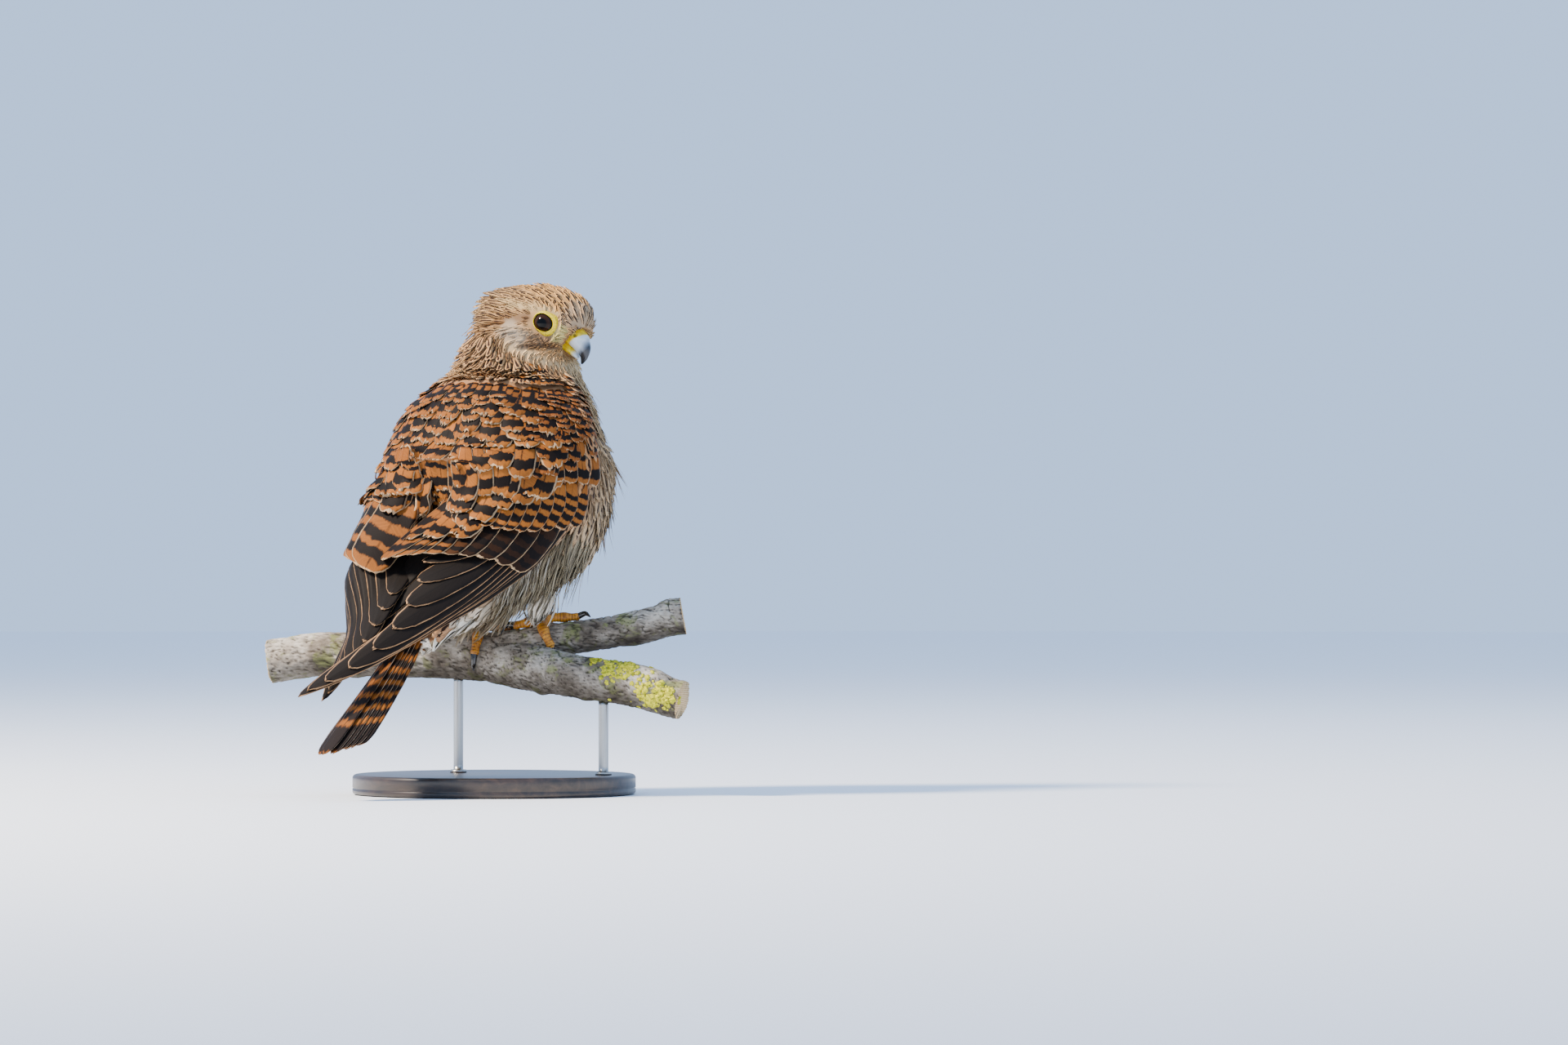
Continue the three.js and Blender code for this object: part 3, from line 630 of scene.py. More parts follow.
def laid_feathers(name, blank, path, out, half, shape, lift, marks, tint, patch, thick, camber, fray,
                  loose=None):
    """Bends copies of a blank along paths over a surface. Half width, lift and thickness are millimetres."""
    steps = path.shape[1] - 1
    at = blank.s * steps
    i = np.minimum(at.astype(int), steps - 1)
    f = (at - i)[None, :, None]
    middle = path[:, i] * (1 - f) + path[:, i + 1] * f
    normal = unit(out[:, i] * (1 - f) + out[:, i + 1] * f)
    ahead = unit(np.diff(path, axis=1)[:, i])
    side = unit(np.cross(normal, ahead))
    length = np.linalg.norm(np.diff(path, axis=1), axis=2).sum(1)[:, None] / MM
    width = outline_of(shape, blank.s) * half[:, None]
    torn = chance.normal(0, 1, width.shape) * fray * length
    torn *= eased(0.55, 1, blank.s) * (1 - 0.5 * np.abs(blank.x))
    height = lift - camber * blank.x ** 2 * width + thick * blank.z
    places = middle + MM * (side * (blank.x * width)[..., None] + normal * height[..., None]
                            + ahead * torn[..., None])
    if loose is not None:
        places = places + MM * loose[:, None] * (blank.s ** 1.6)[None, :, None]
    return joined_mesh(name, blank, places, marks, tint, rim_gap(blank, width, length), patch)


print("feather helpers ready")

# %% [markdown]
# ## Feather paint
# All feathers are painted by one recipe. The vane map tells how far across and along the feather a spot is.
# Cross bars are pulses along the shaft, the streak is a dark drop beside it, and the pale fringe is
# measured in millimetres from the rim. Fine slanting lines are the barbs, about three to a millimetre on
# the real bird and drawn here twice as coarse so that they show. Keratin barbs scatter light softly, so the
# finish is matt with a little sheen.

# %% One recipe for all feathers
def feather_paint(name, dark, pale, bars=(), bend=0.12, shaft=0.3, barb=34, streak_end=0.93, roughness=0.62,
                  soft=0.02, uneven=0.03):
    material, tree, shader = new_material(name, roughness, Sheen_Weight=0.01, Sheen_Roughness=0.5,
                                          Specular_IOR_Level=0.1)
    parts = node(tree, "SeparateXYZ", {0: node(tree, "UVMap", uv_map="vane")})
    centred = node(tree, "Math", {0: parts.outputs["X"], 1: 0.5}, operation="SUBTRACT")
    half = node(tree, "Math", {0: centred}, operation="ABSOLUTE")
    across = node(tree, "Math", {0: half, 1: 2.0}, operation="MULTIPLY")
    tint = node(tree, "Attribute", attribute_name="tint")
    luck = tint.outputs["Alpha"]
    marks = node(tree, "Attribute", attribute_name="marks")
    amounts = node(tree, "SeparateColor", {0: marks})
    shift = node(tree, "Math", {0: luck, 1: 41.0}, operation="MULTIPLY")
    # the barbs: lines that run out and forward from the shaft
    slope = node(tree, "Math", {0: across, 1: -0.16, 2: parts.outputs["Y"]}, operation="MULTIPLY_ADD")
    barb_place = node(tree, "CombineXYZ", {"X": across, "Y": slope, "Z": shift})
    stretch = node(tree, "VectorMath", {0: barb_place, 1: (0.9, float(barb), 1.0)}, operation="MULTIPLY")
    barbs = node(tree, "TexNoise", {"Vector": stretch, "Scale": 1.6, "Detail": 3.0, "Roughness": 0.7})
    # slow unevenness of the marks
    blot_place = node(tree, "CombineXYZ", {"X": parts.outputs["X"], "Y": parts.outputs["Y"], "Z": shift})
    blots = node(tree, "TexNoise", {"Vector": blot_place, "Scale": 5.0, "Detail": 4.0, "Roughness": 0.65})
    off = node(tree, "Math", {0: blots, 1: 0.5}, operation="SUBTRACT")
    curve = node(tree, "Math", {0: across, 1: across}, operation="MULTIPLY")
    bent = node(tree, "Math", {0: curve, 1: float(bend), 2: parts.outputs["Y"]}, operation="MULTIPLY_ADD")
    bar_place = node(tree, "Math", {0: off, 1: uneven * 4, 2: bent}, operation="MULTIPLY_ADD")
    dark_share = amounts.outputs["Blue"]
    if bars:
        stops = []
        for low, high in bars:
            stops += [(low - soft, BLACK), (low, WHITE), (high, WHITE), (high + soft, BLACK)]
        banding = node(tree, "ValToRGB", {"Fac": bar_place}, stops)
        barred = node(tree, "Math", {0: banding, 1: amounts.outputs["Green"]}, operation="MULTIPLY")
        dark_share = node(tree, "Math", {0: barred, 1: dark_share}, operation="MAXIMUM")
    # the streak: a dark drop that widens to the tip and leaves the very tip pale
    drop = node(tree, "ValToRGB", {"Fac": parts.outputs["Y"]},
                [(0.1, GREY[3]), (0.6, GREY[7]), (streak_end - 0.13, WHITE), (streak_end, BLACK)])
    wide = node(tree, "Math", {0: drop, 1: amounts.outputs["Red"]}, operation="MULTIPLY")
    ragged = node(tree, "Math", {0: off, 1: 0.5, 2: wide}, operation="MULTIPLY_ADD")
    inside = node(tree, "Math", {0: ragged, 1: across}, operation="SUBTRACT")
    streak = node(tree, "Math", {0: inside, 1: 7.0}, operation="MULTIPLY", use_clamp=True)
    dark_share = node(tree, "Math", {0: streak, 1: dark_share}, operation="MAXIMUM")
    body = node(tree, "Mix", {0: dark_share, 6: tint, 7: paint(dark)}, data_type="RGBA")
    # the fringe, in millimetres from the rim
    edge = node(tree, "Attribute", attribute_name="edge").outputs["Fac"]
    fringe_wide = node(tree, "Math", {0: off, 1: 1.2, 2: marks.outputs["Alpha"]}, operation="MULTIPLY_ADD")
    near = node(tree, "Math", {0: fringe_wide, 1: edge}, operation="SUBTRACT")
    fringe = node(tree, "Math", {0: near, 1: 3.0}, operation="MULTIPLY", use_clamp=True)
    fringed = node(tree, "Mix", {0: fringe, 6: body, 7: paint(pale)}, data_type="RGBA")
    # the shaft, a thin dark line
    shaft_line = node(tree, "Math", {0: across, 1: 0.055}, operation="LESS_THAN")
    shaft_share = node(tree, "Math", {0: shaft_line, 1: float(shaft)}, operation="MULTIPLY")
    lined = node(tree, "Mix", {0: shaft_share, 6: fringed, 7: paint(dark)}, data_type="RGBA")
    shade = node(tree, "MapRange", {0: barbs, 1: 0.25, 2: 0.75, 3: 0.74, 4: 1.2})
    toned = node(tree, "MapRange", {0: luck, 3: 0.86, 4: 1.12})
    light = node(tree, "Math", {0: shade, 1: toned}, operation="MULTIPLY")
    final = node(tree, "VectorMath", {0: lined, "Scale": light}, operation="SCALE")
    relief = node(tree, "Bump", {"Height": barbs, "Strength": 0.35, "Distance": 0.0002})
    feed(shader, {"Base Color": final, "Normal": relief})
    return material

# %% The paints of the large feathers
DARK = "#100906"
FLIGHT_DARK = "#0d0a09"
# each paint names the dark of its bars, the pale of its fringe, and where along the shaft the bars lie
primary_paint = feather_paint("dark flight vane, pale rim", FLIGHT_DARK, "#ad8660", shaft=0.7, barb=70,
                              bend=0.02)
secondary_paint = feather_paint("barred rufous tertial vane", DARK, "#b89872", barb=50,
                                bars=[(0.2, 0.3), (0.42, 0.52), (0.62, 0.72), (0.81, 0.9)], bend=0.05)
greater_paint = feather_paint("barred rufous covert vane", DARK, "#ba946c",
                              bars=[(0.3, 0.38), (0.5, 0.6), (0.7, 0.8), (0.9, 0.965)], bend=0.05, barb=40)
mantle_paint = feather_paint("rufous mantle feather with a dark band", DARK, "#b09472",
                             bars=[(0.34, 0.44), (0.68, 0.86)], bend=0.07, barb=26, soft=0.025, uneven=0.035)
tail_paint = feather_paint("barred rufous tail vane", "#1d1512", "#c7a98a", barb=90, bend=0.015, shaft=0.8,
                           bars=[(0.14, 0.18), (0.25, 0.29), (0.36, 0.4), (0.46, 0.5), (0.56, 0.605),
                                 (0.67, 0.72), (0.79, 0.985)])
print("feather paints ready")

# %% [markdown]
# ## Wing and tail feathers
# The tips of each row were taken from the pose, on the cloak chart. Between the named tips a smooth curve
# gives as many feathers as the real wing has. Each feather lies a fixed step above the next one outwards,
# and the height also rises with the degrees, so neighbours overlap like tiles without cutting through each
# other.

# %% Rows of the folded wings
FLIGHT = [[0, 0.5], [0.2, 1], [0.42, 1], [0.64, 0.96], [0.82, 0.82], [0.92, 0.62], [0.975, 0.38], [1, 0.04]]
TERTIAL = [[0, 0.5], [0.35, 1], [0.7, 1], [0.88, 0.85], [0.95, 0.62], [0.985, 0.36], [1, 0.05]]
COVERT = [[0, 0.6], [0.45, 1], [0.8, 0.94], [0.92, 0.72], [0.975, 0.44], [1, 0.06]]
TAIL_SHAPE = [[0, 0.6], [0.2, 0.9], [0.45, 1], [0.7, 1], [0.88, 0.94], [0.95, 0.78], [0.985, 0.5], [1, 0.12]]
WING_ROWS = {
    "primary": {"count": 9, "root": 102, "half": 6.4, "shape": FLIGHT, "turn": 69, "fan": 5, "bow": 2.2},
    "secondary": {"count": 9, "root": 101, "half": 7.4, "shape": TERTIAL, "skew": 0, "middle": 35, "gap": 14,
                  "height": [[90, 6.2], [104, 6.6], [120, 7.6], [142, 9.6]]},
    "greater": {"count": 10, "root": 84, "half": 5.6, "shape": COVERT, "skew": 4, "middle": 50, "gap": 10,
                "height": [[70, 8.8], [90, 9], [120, 10]]},
    "median": {"count": 10, "root": 60, "half": 5.4, "shape": COVERT, "skew": 3, "middle": 54, "gap": 11,
               "height": [[50, 10.7], [75, 11.2], [92, 12.4]]},
}
RIGHT_TIPS = {
    "primary": [[263, 15], [257, 24], [246, 38], [230, 47], [213, 49], [197, 43], [181, 34], [168, 23]],
    "secondary": [[144, 77], [149, 61], [155, 45], [161, 31], [167, 17], [172, 4], [175, -8]],
    "greater": [[110, 86], [118, 76], [125, 66], [131, 56], [136, 46], [140, 35], [143, 25]],
    "median": [[88, 87], [90, 76], [93, 65], [97, 54], [103, 43], [110, 32], [117, 22]],
}
LEFT_TIPS = {
    **RIGHT_TIPS,
    "primary": [[252, -44], [246, -40], [238, -35], [229, -30], [219, -24], [208, -18], [197, -12],
                [186, -7]],
    "secondary": [[148, 80], [156, 69], [164, 58], [171, 47], [177, 37], [180, 29], [181, 22]],
}
OVER_LEFT = 8.5
LEFT_PRIMARY = {"wider": 1.35, "bow": [[0, 2.0], [4, 1.6], [8, 0.9]]}
TIP_FRINGE = 0.45  # the fringe is broader round the tip than along the sides
VANE_THICK = 0.25
vane_blank = Blank(8, 26, crowd=1.5)
print("wing rows", list(WING_ROWS))

# %% One row of a wing
def row_of_tips(tips, count):
    return smooth(tips, np.linspace(0, len(tips) - 1, count))


def wing_row(kind, sign):
    """Corners of one row of one wing, and each corner's millimetres to its vane's rim."""
    row = WING_ROWS[kind]
    tips = row_of_tips((RIGHT_TIPS if sign == 1 else LEFT_TIPS)[kind], row["count"])
    told = len(RIGHT_TIPS[kind])
    x, s = vane_blank.x, vane_blank.s
    places, edges = [], []
    for i, (reach_tip, turn_tip) in enumerate(tips):
        order = i * (told - 1) / (row["count"] - 1) - (told - 1) / 2
        if kind == "primary":
            turn_root = row["turn"] - row["fan"] * order
            root = row["root"] + SLANT * (OUTER - turn_root)
        else:
            turn_root = np.clip(turn_tip - row["skew"], 17, 84)
            root = row["root"] - 5 * max(0, order - 1) + SLANT * (OUTER - turn_root)
        half = row["half"] * (1 + 0.05 * chance.normal())
        bow = row.get("bow", 1)
        if kind == "primary" and sign == -1:
            half *= LEFT_PRIMARY["wider"]
            bow = np.interp(i, *np.transpose(LEFT_PRIMARY["bow"]))
        width = outline_of(row["shape"], s) * half
        along = root + (reach_tip - root) * s
        along = along + chance.normal(0, 0.35, len(s)) * eased(0.85, 1, s)
        degrees = turn_root + (turn_tip - turn_root) * s ** bow
        degrees = degrees + np.degrees(x * width / (cloak.girth(along) + 7))
        if sign == 1:
            raised = OVER_LEFT * eased(118, 178, along)
        else:
            raised = flare_at(along, degrees) * eased(215, 175, along)
        if kind == "primary":
            middle = 72 + ((30 if sign == 1 else 0) - 72) * eased(118, 240, along)
            slope = 0.25 - 0.2 * eased(118, 195, along)
            lift = 4.3 + 1.6 * eased(150, 200, along) + raised + 1.25 * order + slope * (degrees - middle)
        else:
            reach = along - SLANT * (OUTER - degrees)
            height = np.interp(reach, *np.transpose(row["height"]))
            lift = height + raised + order + (degrees - row["middle"]) / row["gap"]
        lift = lift + VANE_THICK * vane_blank.z - 0.5 * x ** 2 * (1 - s) + 0.25 * np.exp(-(x / 0.12) ** 2)
        places.append(cloak.at(along, sign * degrees, lift))
        edges.append(rim_gap(vane_blank, width, (reach_tip - root) * TIP_FRINGE))
    return np.array(places), np.array(edges)


print("rows can be laid")

# %% Marks and maps of the large feathers
def cells(count):
    """Bake patches side by side, one to each large vane."""
    across = int(np.ceil(np.sqrt(count * 3)))
    down = int(np.ceil(count / across))
    k = np.arange(count)
    return np.stack([(k % across + 0.05) / across, (k // across + 0.03) / down,
                     np.full(count, 0.9 / across), np.full(count, 0.94 / down)], -1)


def marks_for(count, streak=0.0, bar=0.0, shade=0.0, fringe=0.0):
    """Paint marks: width of the streak, strength of the bars, overall darkness and fringe in millimetres."""
    return np.stack([np.broadcast_to(np.asarray(v, float), count) for v in (streak, bar, shade, fringe)], -1)


def varied(colours, spread):
    """Each feather's colour a little lighter or darker, with its lucky number."""
    tone = 1 + spread * chance.normal(0, 1, (len(colours), 1))
    return np.concatenate([np.clip(colours * tone, 0, 1), chance.random((len(colours), 1))], 1)


def tint_for(count, code, spread):
    """One ground colour for every feather, each a little lighter or darker, and its lucky number."""
    return varied(np.tile(linear(code), (count, 1)), spread)


def large_vanes(name, places, edges, material, ground, spread, marks):
    """One piece of all large vanes of a row."""
    tint = tint_for(len(places), ground, spread)
    mesh = joined_mesh(name, vane_blank, places, marks, tint, edges, cells(len(places)))
    return finished(mesh, material)

# %% The wing pieces
FLIGHT_GROUND = "#15100d"
WING_FINISH = {
    "primary": (primary_paint, FLIGHT_GROUND, {"fringe": 0.42}),
    "secondary": (secondary_paint, "#7e4a1c", {"bar": 1.0, "fringe": 0.5}),
    "greater": (greater_paint, "#8c521d", {"bar": 1.0, "fringe": 0.4}),
    "median": (mantle_paint, "#854d1c", {"bar": 1.0, "fringe": 0.5, "streak": 0.1}),
}
wing_pieces = []
for side_name, sign in (("right", 1), ("left", -1)):
    for kind, (material, ground, marks) in WING_FINISH.items():
        places, edges = wing_row(kind, sign)
        marks = marks_for(len(places), **marks)
        if kind == "secondary" and sign == 1:
            # only the innermost feathers, the tertials, are barred rufous
            marks[:, 2] = 0.94 * eased(5.5, 3.5, np.arange(len(places)))
        wing_pieces.append(large_vanes(f"{kind}_feathers_{side_name}", places, edges, material, ground, 0.06,
                                       marks))
print("wing pieces", len(wing_pieces))

# %% Feathers of the left wing that cross under the right one
CROSSED = [[230, 25, 52], [217, 14, 42], [204, 3, 32], [190, -7, 22]]
CROSSED_ROOT = 122


def crossed_vanes():
    """Innermost left primaries, low over the tail, from rows of reach, degrees of the tip and of the root."""
    x, s = vane_blank.x, vane_blank.s
    width = outline_of(FLIGHT, s) * 7.6
    places, edges = [], []
    for k, (reach, turn_tip, turn_root) in enumerate(CROSSED):
        long = reach - CROSSED_ROOT
        along = CROSSED_ROOT + long * s
        degrees = turn_root + (turn_tip - turn_root) * s + np.degrees(x * width / (cloak.girth(along) + 4))
        lift = 2.6 + 0.75 * k + VANE_THICK * vane_blank.z - 0.4 * x ** 2
        places.append(cloak.at(along, degrees, lift))
        edges.append(rim_gap(vane_blank, width, long * TIP_FRINGE))
    return np.array(places), np.array(edges)


places, edges = crossed_vanes()
large_vanes("crossed_feathers_left", places, edges, primary_paint, FLIGHT_GROUND, 0.06,
            marks_for(len(places), fringe=0.42))

# %% The tail
TAIL = {"root": 190, "tip": 280, "step": 2.6, "width": 10.5, "first": 6.5, "fan": {1: 2.2, -1: 1.5}}


def beside_trunk(along, off, height):
    """A place beside the tail's axis, on the gently hollow sheet that the tail feathers make."""
    point = trunk.at(along, 0, height - off ** 2 / 150)
    return point + np.stack([-off * MM, off * 0, off * 0], -1)


def tail_feathers():
    """Six pairs of feathers, each pair lower and further out than the one before."""
    x, s = vane_blank.x, vane_blank.s
    shape = outline_of(TAIL_SHAPE, s) * (0.62 + 0.38 * s)
    places, edges = [], []
    for k in range(6):
        for side in (1, -1):
            outer = TAIL["first"] + TAIL["fan"][side] * k
            inner = -3.5 if k == 0 else min(max(0.5, outer - TAIL["width"]), 4.0)
            level = 0 if (k, side) == (0, 1) else -0.85 * (k + (k > 0 or side == -1))
            half = (outer - inner) / 2
            off = (outer + inner) / 2 * (0.62 + 0.38 * s) + x * half * shape
            long = TAIL["tip"] - TAIL["step"] * k - TAIL["root"]
            along = TAIL["root"] + long * s + chance.normal(0, 0.7, len(s)) * eased(0.93, 1, s)
            places.append(beside_trunk(along, side * off, level + VANE_THICK * vane_blank.z))
            edges.append(rim_gap(vane_blank, half * shape, long))
    return np.array(places), np.array(edges)


places, edges = tail_feathers()
tail_piece = large_vanes("tail_feathers", places, edges, tail_paint, "#8a501c", 0.05,
                         marks_for(len(places), bar=1, fringe=0.22))
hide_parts("tail")

# %% [markdown]
# ## Markings of the coat
# A kestrel's small feathers change from place to place: buff with dark streaks on crown, nape and breast,
# plain and pale over the eye, on the cheek and the throat, with a dark stripe under the eye. One function
# gives the ground colour and the streak at any point, and the skin and the feathers both ask it.

# %% Markings by place
def band(points, start, end, wide):
    """1 on a stripe of the face between two places (forward, up), fading out at its sides."""
    forward, up, right = head_place(points)
    start, end = np.array(start, float), np.array(end, float)
    spot = np.stack([forward, up], -1)
    axis = end - start
    t = np.clip((spot - start) @ axis / (axis @ axis), 0, 1)
    gap = np.linalg.norm(spot - (start + t[:, None] * axis), axis=1)
    return eased(wide * 1.3, wide * 0.5, gap) * eased(5, 9, np.abs(right))


def markings(points, index=None):
    """Ground colour, and the share of each feather that its streak takes."""
    index = on_trunk.nearest(points) if index is None else index
    along, turn = on_trunk.along[index], np.abs(on_trunk.degrees[index])
    forward, up, right = head_place(points)
    side = np.abs(right)
    head = eased(37, 29, head_distance(points))
    front = eased(75, 118, turn)
    under_wings = eased(112, 130, along) * eased(84, 70, turn) * eased(176, 168, along)
    colour = np.tile(np.array(linear("#a8754a")), (len(points), 1))
    streak = np.full(len(points), 0.42)
    layers = [
        (eased(44, 30, along), "#b58a5c", 0.58),
        (front, "#b79b77", 0.42),
        (front * eased(60, 20, along), "#c4a578", 0.42),
        (front * eased(95, 140, along), "#b8a78c", 0.2),
        (thigh_share(points), "#ddd4c2", 0.06),
        (eased(150, 175, along) * front, "#e0d8c8", 0.04),
        (under_wings, "#1d1512", 0.3),
        (head, "#c79c68", 0.56),
        (head * eased(6, 12, up), "#cd9c5e", 0.62),
        (head * eased(11, 17, forward) * eased(3, 8, up), "#b99b78", 0.6),
        (head * eased(-10, -15, up) * eased(-6, 2, forward), "#d0b88c", 0.34),
        (head * band(points, (12, 9.4), (0, 7), 2.0), "#c7a876", 0.24),
        (head * band(points, (0, 7), (-15, 0.5), 2.4), "#c6a674", 0.34),
        (head * band(points, (0, 0.5), (-17, -11), 3.2), "#876542", 0.5),
        (head * band(points, (8, -9.0), (-6, -8.2), 4.6) * 0.75, "#b1a18a", 0.16),
        (head * band(points, (15.5, -1.5), (10.5, -7.5), 3.6), "#8d7053", 0.34),
        (head * band(points, (18, -2), (19, 3), 2.6), "#c3b374", 0.04),
        (head * band(points, (18.5, -6.5), (9, -12.2), 1.5) * 0.8, "#4a3626", 0.5),
    ]
    for share, code, streaked in layers:
        colour = colour * (1 - share[:, None]) + np.array(linear(code)) * share[:, None]
        streak = streak * (1 - share) + streaked * share
    return colour, streak


print("markings ready")

# %% [markdown]
# ## Where small feathers grow
# Real feathers stand in even, staggered order. On the body they are scattered by chance, and any that come
# nearer to a kept one than the spacing of that place are dropped. The spacing is a little over a
# millimetre on the face and grows to nearly five on the belly, as on the bird.

# %% Scatter on the skin
def scattered(mesh, count):
    """Seeded places spread evenly over a mesh's area."""
    corners = points_of(mesh)
    faces = np.array([face.vertices[:] for face in mesh.polygons if len(face.vertices) == 4])
    a, b, c, d = (corners[faces[:, k]] for k in range(4))
    area = np.linalg.norm(np.cross(c - a, d - b), axis=1)
    pick = chance.choice(len(faces), count, p=area / area.sum())
    u, v = chance.random((2, count, 1))
    return (a[pick] * (1 - u) + b[pick] * u) * (1 - v) + (d[pick] * (1 - u) + c[pick] * u) * v


def thinned(places, spacing):
    """Drops every place that lies nearer to a kept one than the spacing there."""
    tree = KDTree(len(places))
    for k, place in enumerate(places):
        tree.insert(place, k)
    tree.balance()
    free = np.ones(len(places), bool)
    kept = []
    for k in range(len(places)):
        if free[k]:
            kept.append(k)
            for _, other, _ in tree.find_range(places[k], spacing[k] * MM):
                free[other] = False
    return np.array(kept, int)

# %% Feathers of the skin, chosen and spaced
seeds = scattered(skin_mesh, 90000)
seed_index = on_trunk.nearest(seeds)
seed_along, seed_turn = on_trunk.along[seed_index], on_trunk.degrees[seed_index]
forward, up, right = head_place(seeds)
on_head = eased(38, 30, head_distance(seeds))
on_face = on_head * eased(20, 12, np.hypot(np.hypot(forward - 11, up + 5), np.abs(right) - 8))
on_leg = thigh_share(seeds)
body_spacing = np.interp(seed_along, [0, 20, 50, 90, 160, 200], [2.0, 2.2, 3.2, 4.4, 4.8, 4.0])
seed_spacing = body_spacing * (1 - on_leg) + 2.5 * on_leg
seed_spacing = seed_spacing * (1 - on_head) + 2.35 * on_head
seed_spacing = seed_spacing * (1 - on_face) + 1.3 * on_face
eye_gap = np.hypot(forward - EYE["forward"], up - EYE["up"])
under_ring = 4.7 + 2.0 * eased(0, 6, forward - EYE["forward"])
by_eye = (eye_gap < under_ring) & (np.abs(right) > 8)
by_bill = (bill_rim(up, right) < 0.97) & (forward > 12)
bare = (on_head > 0.5) & (by_eye | by_bill)
# the nape and the sides of the neck are ruffled, and stand up more than the rest
nape = on_head * eased(-6, -16, forward) * eased(12, 2, up)
nape = np.maximum(nape, 0.5 * (1 - on_head) * eased(26, 8, seed_along) * eased(150, 110, np.abs(seed_turn)))
under_wing = (np.abs(seed_turn) < 84) & (seed_along > 27) & (on_leg < 0.5) & (on_head < 0.5)
wanted = ~bare & ~under_wing & (seed_along < 194)
order = np.flatnonzero(wanted)
order = order[thinned(seeds[order], seed_spacing[order])]
print("small feathers", len(order))

# %% [markdown]
# ## The small feathers
# Each kept place becomes one feather: its path walks over the skin along the lie of the coat, its root lies
# in the skin and its tip lifts clear of it. Length and width follow the spacing, so three or four feathers
# always cover one another. They are made in three lots, head, body and legs, each one joined mesh.

# %% Body, head and leg feathers
SMALL = [[0, 0.55], [0.3, 0.95], [0.6, 1.0], [0.85, 0.8], [1, 0.34]]
NARROW = [[0, 0.6], [0.4, 1.0], [0.7, 0.85], [0.9, 0.5], [1, 0.16]]
SPOT = 0.003
fine_blank = Blank(2, 5)
soft_blank = Blank(4, 7)
small_paint = feather_paint("buff contour feather with a dark streak", "#2f2018", "#d3bd98", barb=20,
                            roughness=0.75)


def patches(u, v, wide, high):
    """Bake patches of one size, at places of the map."""
    return np.concatenate([np.stack([u, v], -1), np.tile([wide, high], (len(u), 1))], 1)


def trunk_patch(index):
    """Patches at the roots' places on the trunk, unrolled from neck to tail."""
    u = (on_trunk.degrees[index] + 180) / 360
    v = on_trunk.along[index] / TRUNK_END
    return patches(0.02 + 0.95 * u, 0.02 + 0.95 * v, SPOT, SPOT)


def head_patch(roots):
    """Patches at the roots' places on the head, unrolled round its length."""
    forward, up, right = head_place(roots)
    u = (np.arctan2(right, up + 3) / np.pi + 1) / 2
    v = np.clip((forward + 40) / 70, 0, 1)
    return patches(0.02 + 0.95 * u, 0.02 + 0.95 * v, SPOT, SPOT)


def wayward(roots, angle):
    """The lie of the coat, each feather turned a little by chance."""
    twist = chance.normal(0, np.radians(angle), len(roots))[:, None]

    def way(points):
        ahead = lie(points)
        side = np.cross(ahead, unit(points - HEAD_MIDDLE * MM))
        return unit(ahead + side * twist)

    return way


def small_feathers(name, chosen, blank, shape, patch, long, wide, tip_lift, stray, fringe=0.0,
                   loose=None):
    """One piece of the feathers that grow at the chosen seeds; long and wide are shares of the spacing."""
    count = len(chosen)
    roots, spacing, full = seeds[chosen], seed_spacing[chosen], nape[chosen]
    lengths = spacing * long * (1 + 0.12 * chance.normal(0, 1, count)) * (1 + 0.45 * full)
    rise = tip_lift + 0.6 + 4.6 * full * chance.uniform(0.7, 1.15, count)
    path, out = march(roots, lengths * MM, skin_surface, wayward(roots, stray))
    # a feather shows only its outer part, so it takes the colour of the place that it reaches
    colour, streak = markings(path[:, 4])
    tint = varied(colour, 0.1)
    uneven = chance.normal(0, tip_lift * 0.12, count)
    lift = (uneven - 0.6)[:, None] + rise[:, None] * blank.s ** 0.85
    marks = marks_for(count, streak=streak, fringe=fringe)
    mesh = laid_feathers(name, blank, path, out, spacing * wide, shape, lift, marks, tint, patch,
                         thick=0.06, camber=0.28, fray=0.05, loose=loose)
    return finished(mesh, small_paint)

# %% Three lots of small feathers
is_head = on_head[order] > 0.5
is_leg = on_leg[order] > 0.4
head_lot, leg_lot = order[is_head], order[is_leg & ~is_head]
body_lot = order[~is_head & ~is_leg]
small_feathers("head_feathers", head_lot, fine_blank, NARROW, head_patch(seeds[head_lot]),
               long=3.7, wide=0.56, tip_lift=1.2, stray=5)
# the feathers of the legs hang down and ruffle
hanging = chance.normal(0, 1.6, (len(leg_lot), 3)) + np.array([0, 0.5, -6.0])
small_feathers("leg_feathers", leg_lot, fine_blank, NARROW, trunk_patch(seed_index[leg_lot]),
               long=7.5, wide=0.5, tip_lift=3.6, stray=12, loose=hanging)
small_feathers("body_feathers", body_lot, soft_blank, SMALL, trunk_patch(seed_index[body_lot]),
               long=3.9, wide=0.86, tip_lift=2.8, stray=10, fringe=0.25)

# %% [markdown]
# ## Mantle, shoulders and lesser coverts
# The back is covered by ordered rows, larger from the nape to the tips of the shoulder feathers, and by
# fine rows on the bend of the wing. They lie over the roots of the wing feathers, so their paths walk over
# skin and wing feathers together. Each is rufous with a dark band near its tip and a pale, frayed fringe.

# %% Rows over the back
def arch(turn):
    """How far a row lies further back at the middle than at the wing's edge."""
    return SLANT * OUTER * np.cos(np.radians(np.minimum(np.abs(turn), OUTER) * 90 / OUTER))


BROAD = [[0, 0.85], [20, 1.05], [45, 1.1], [70, 0.8], [98, 0.7]]


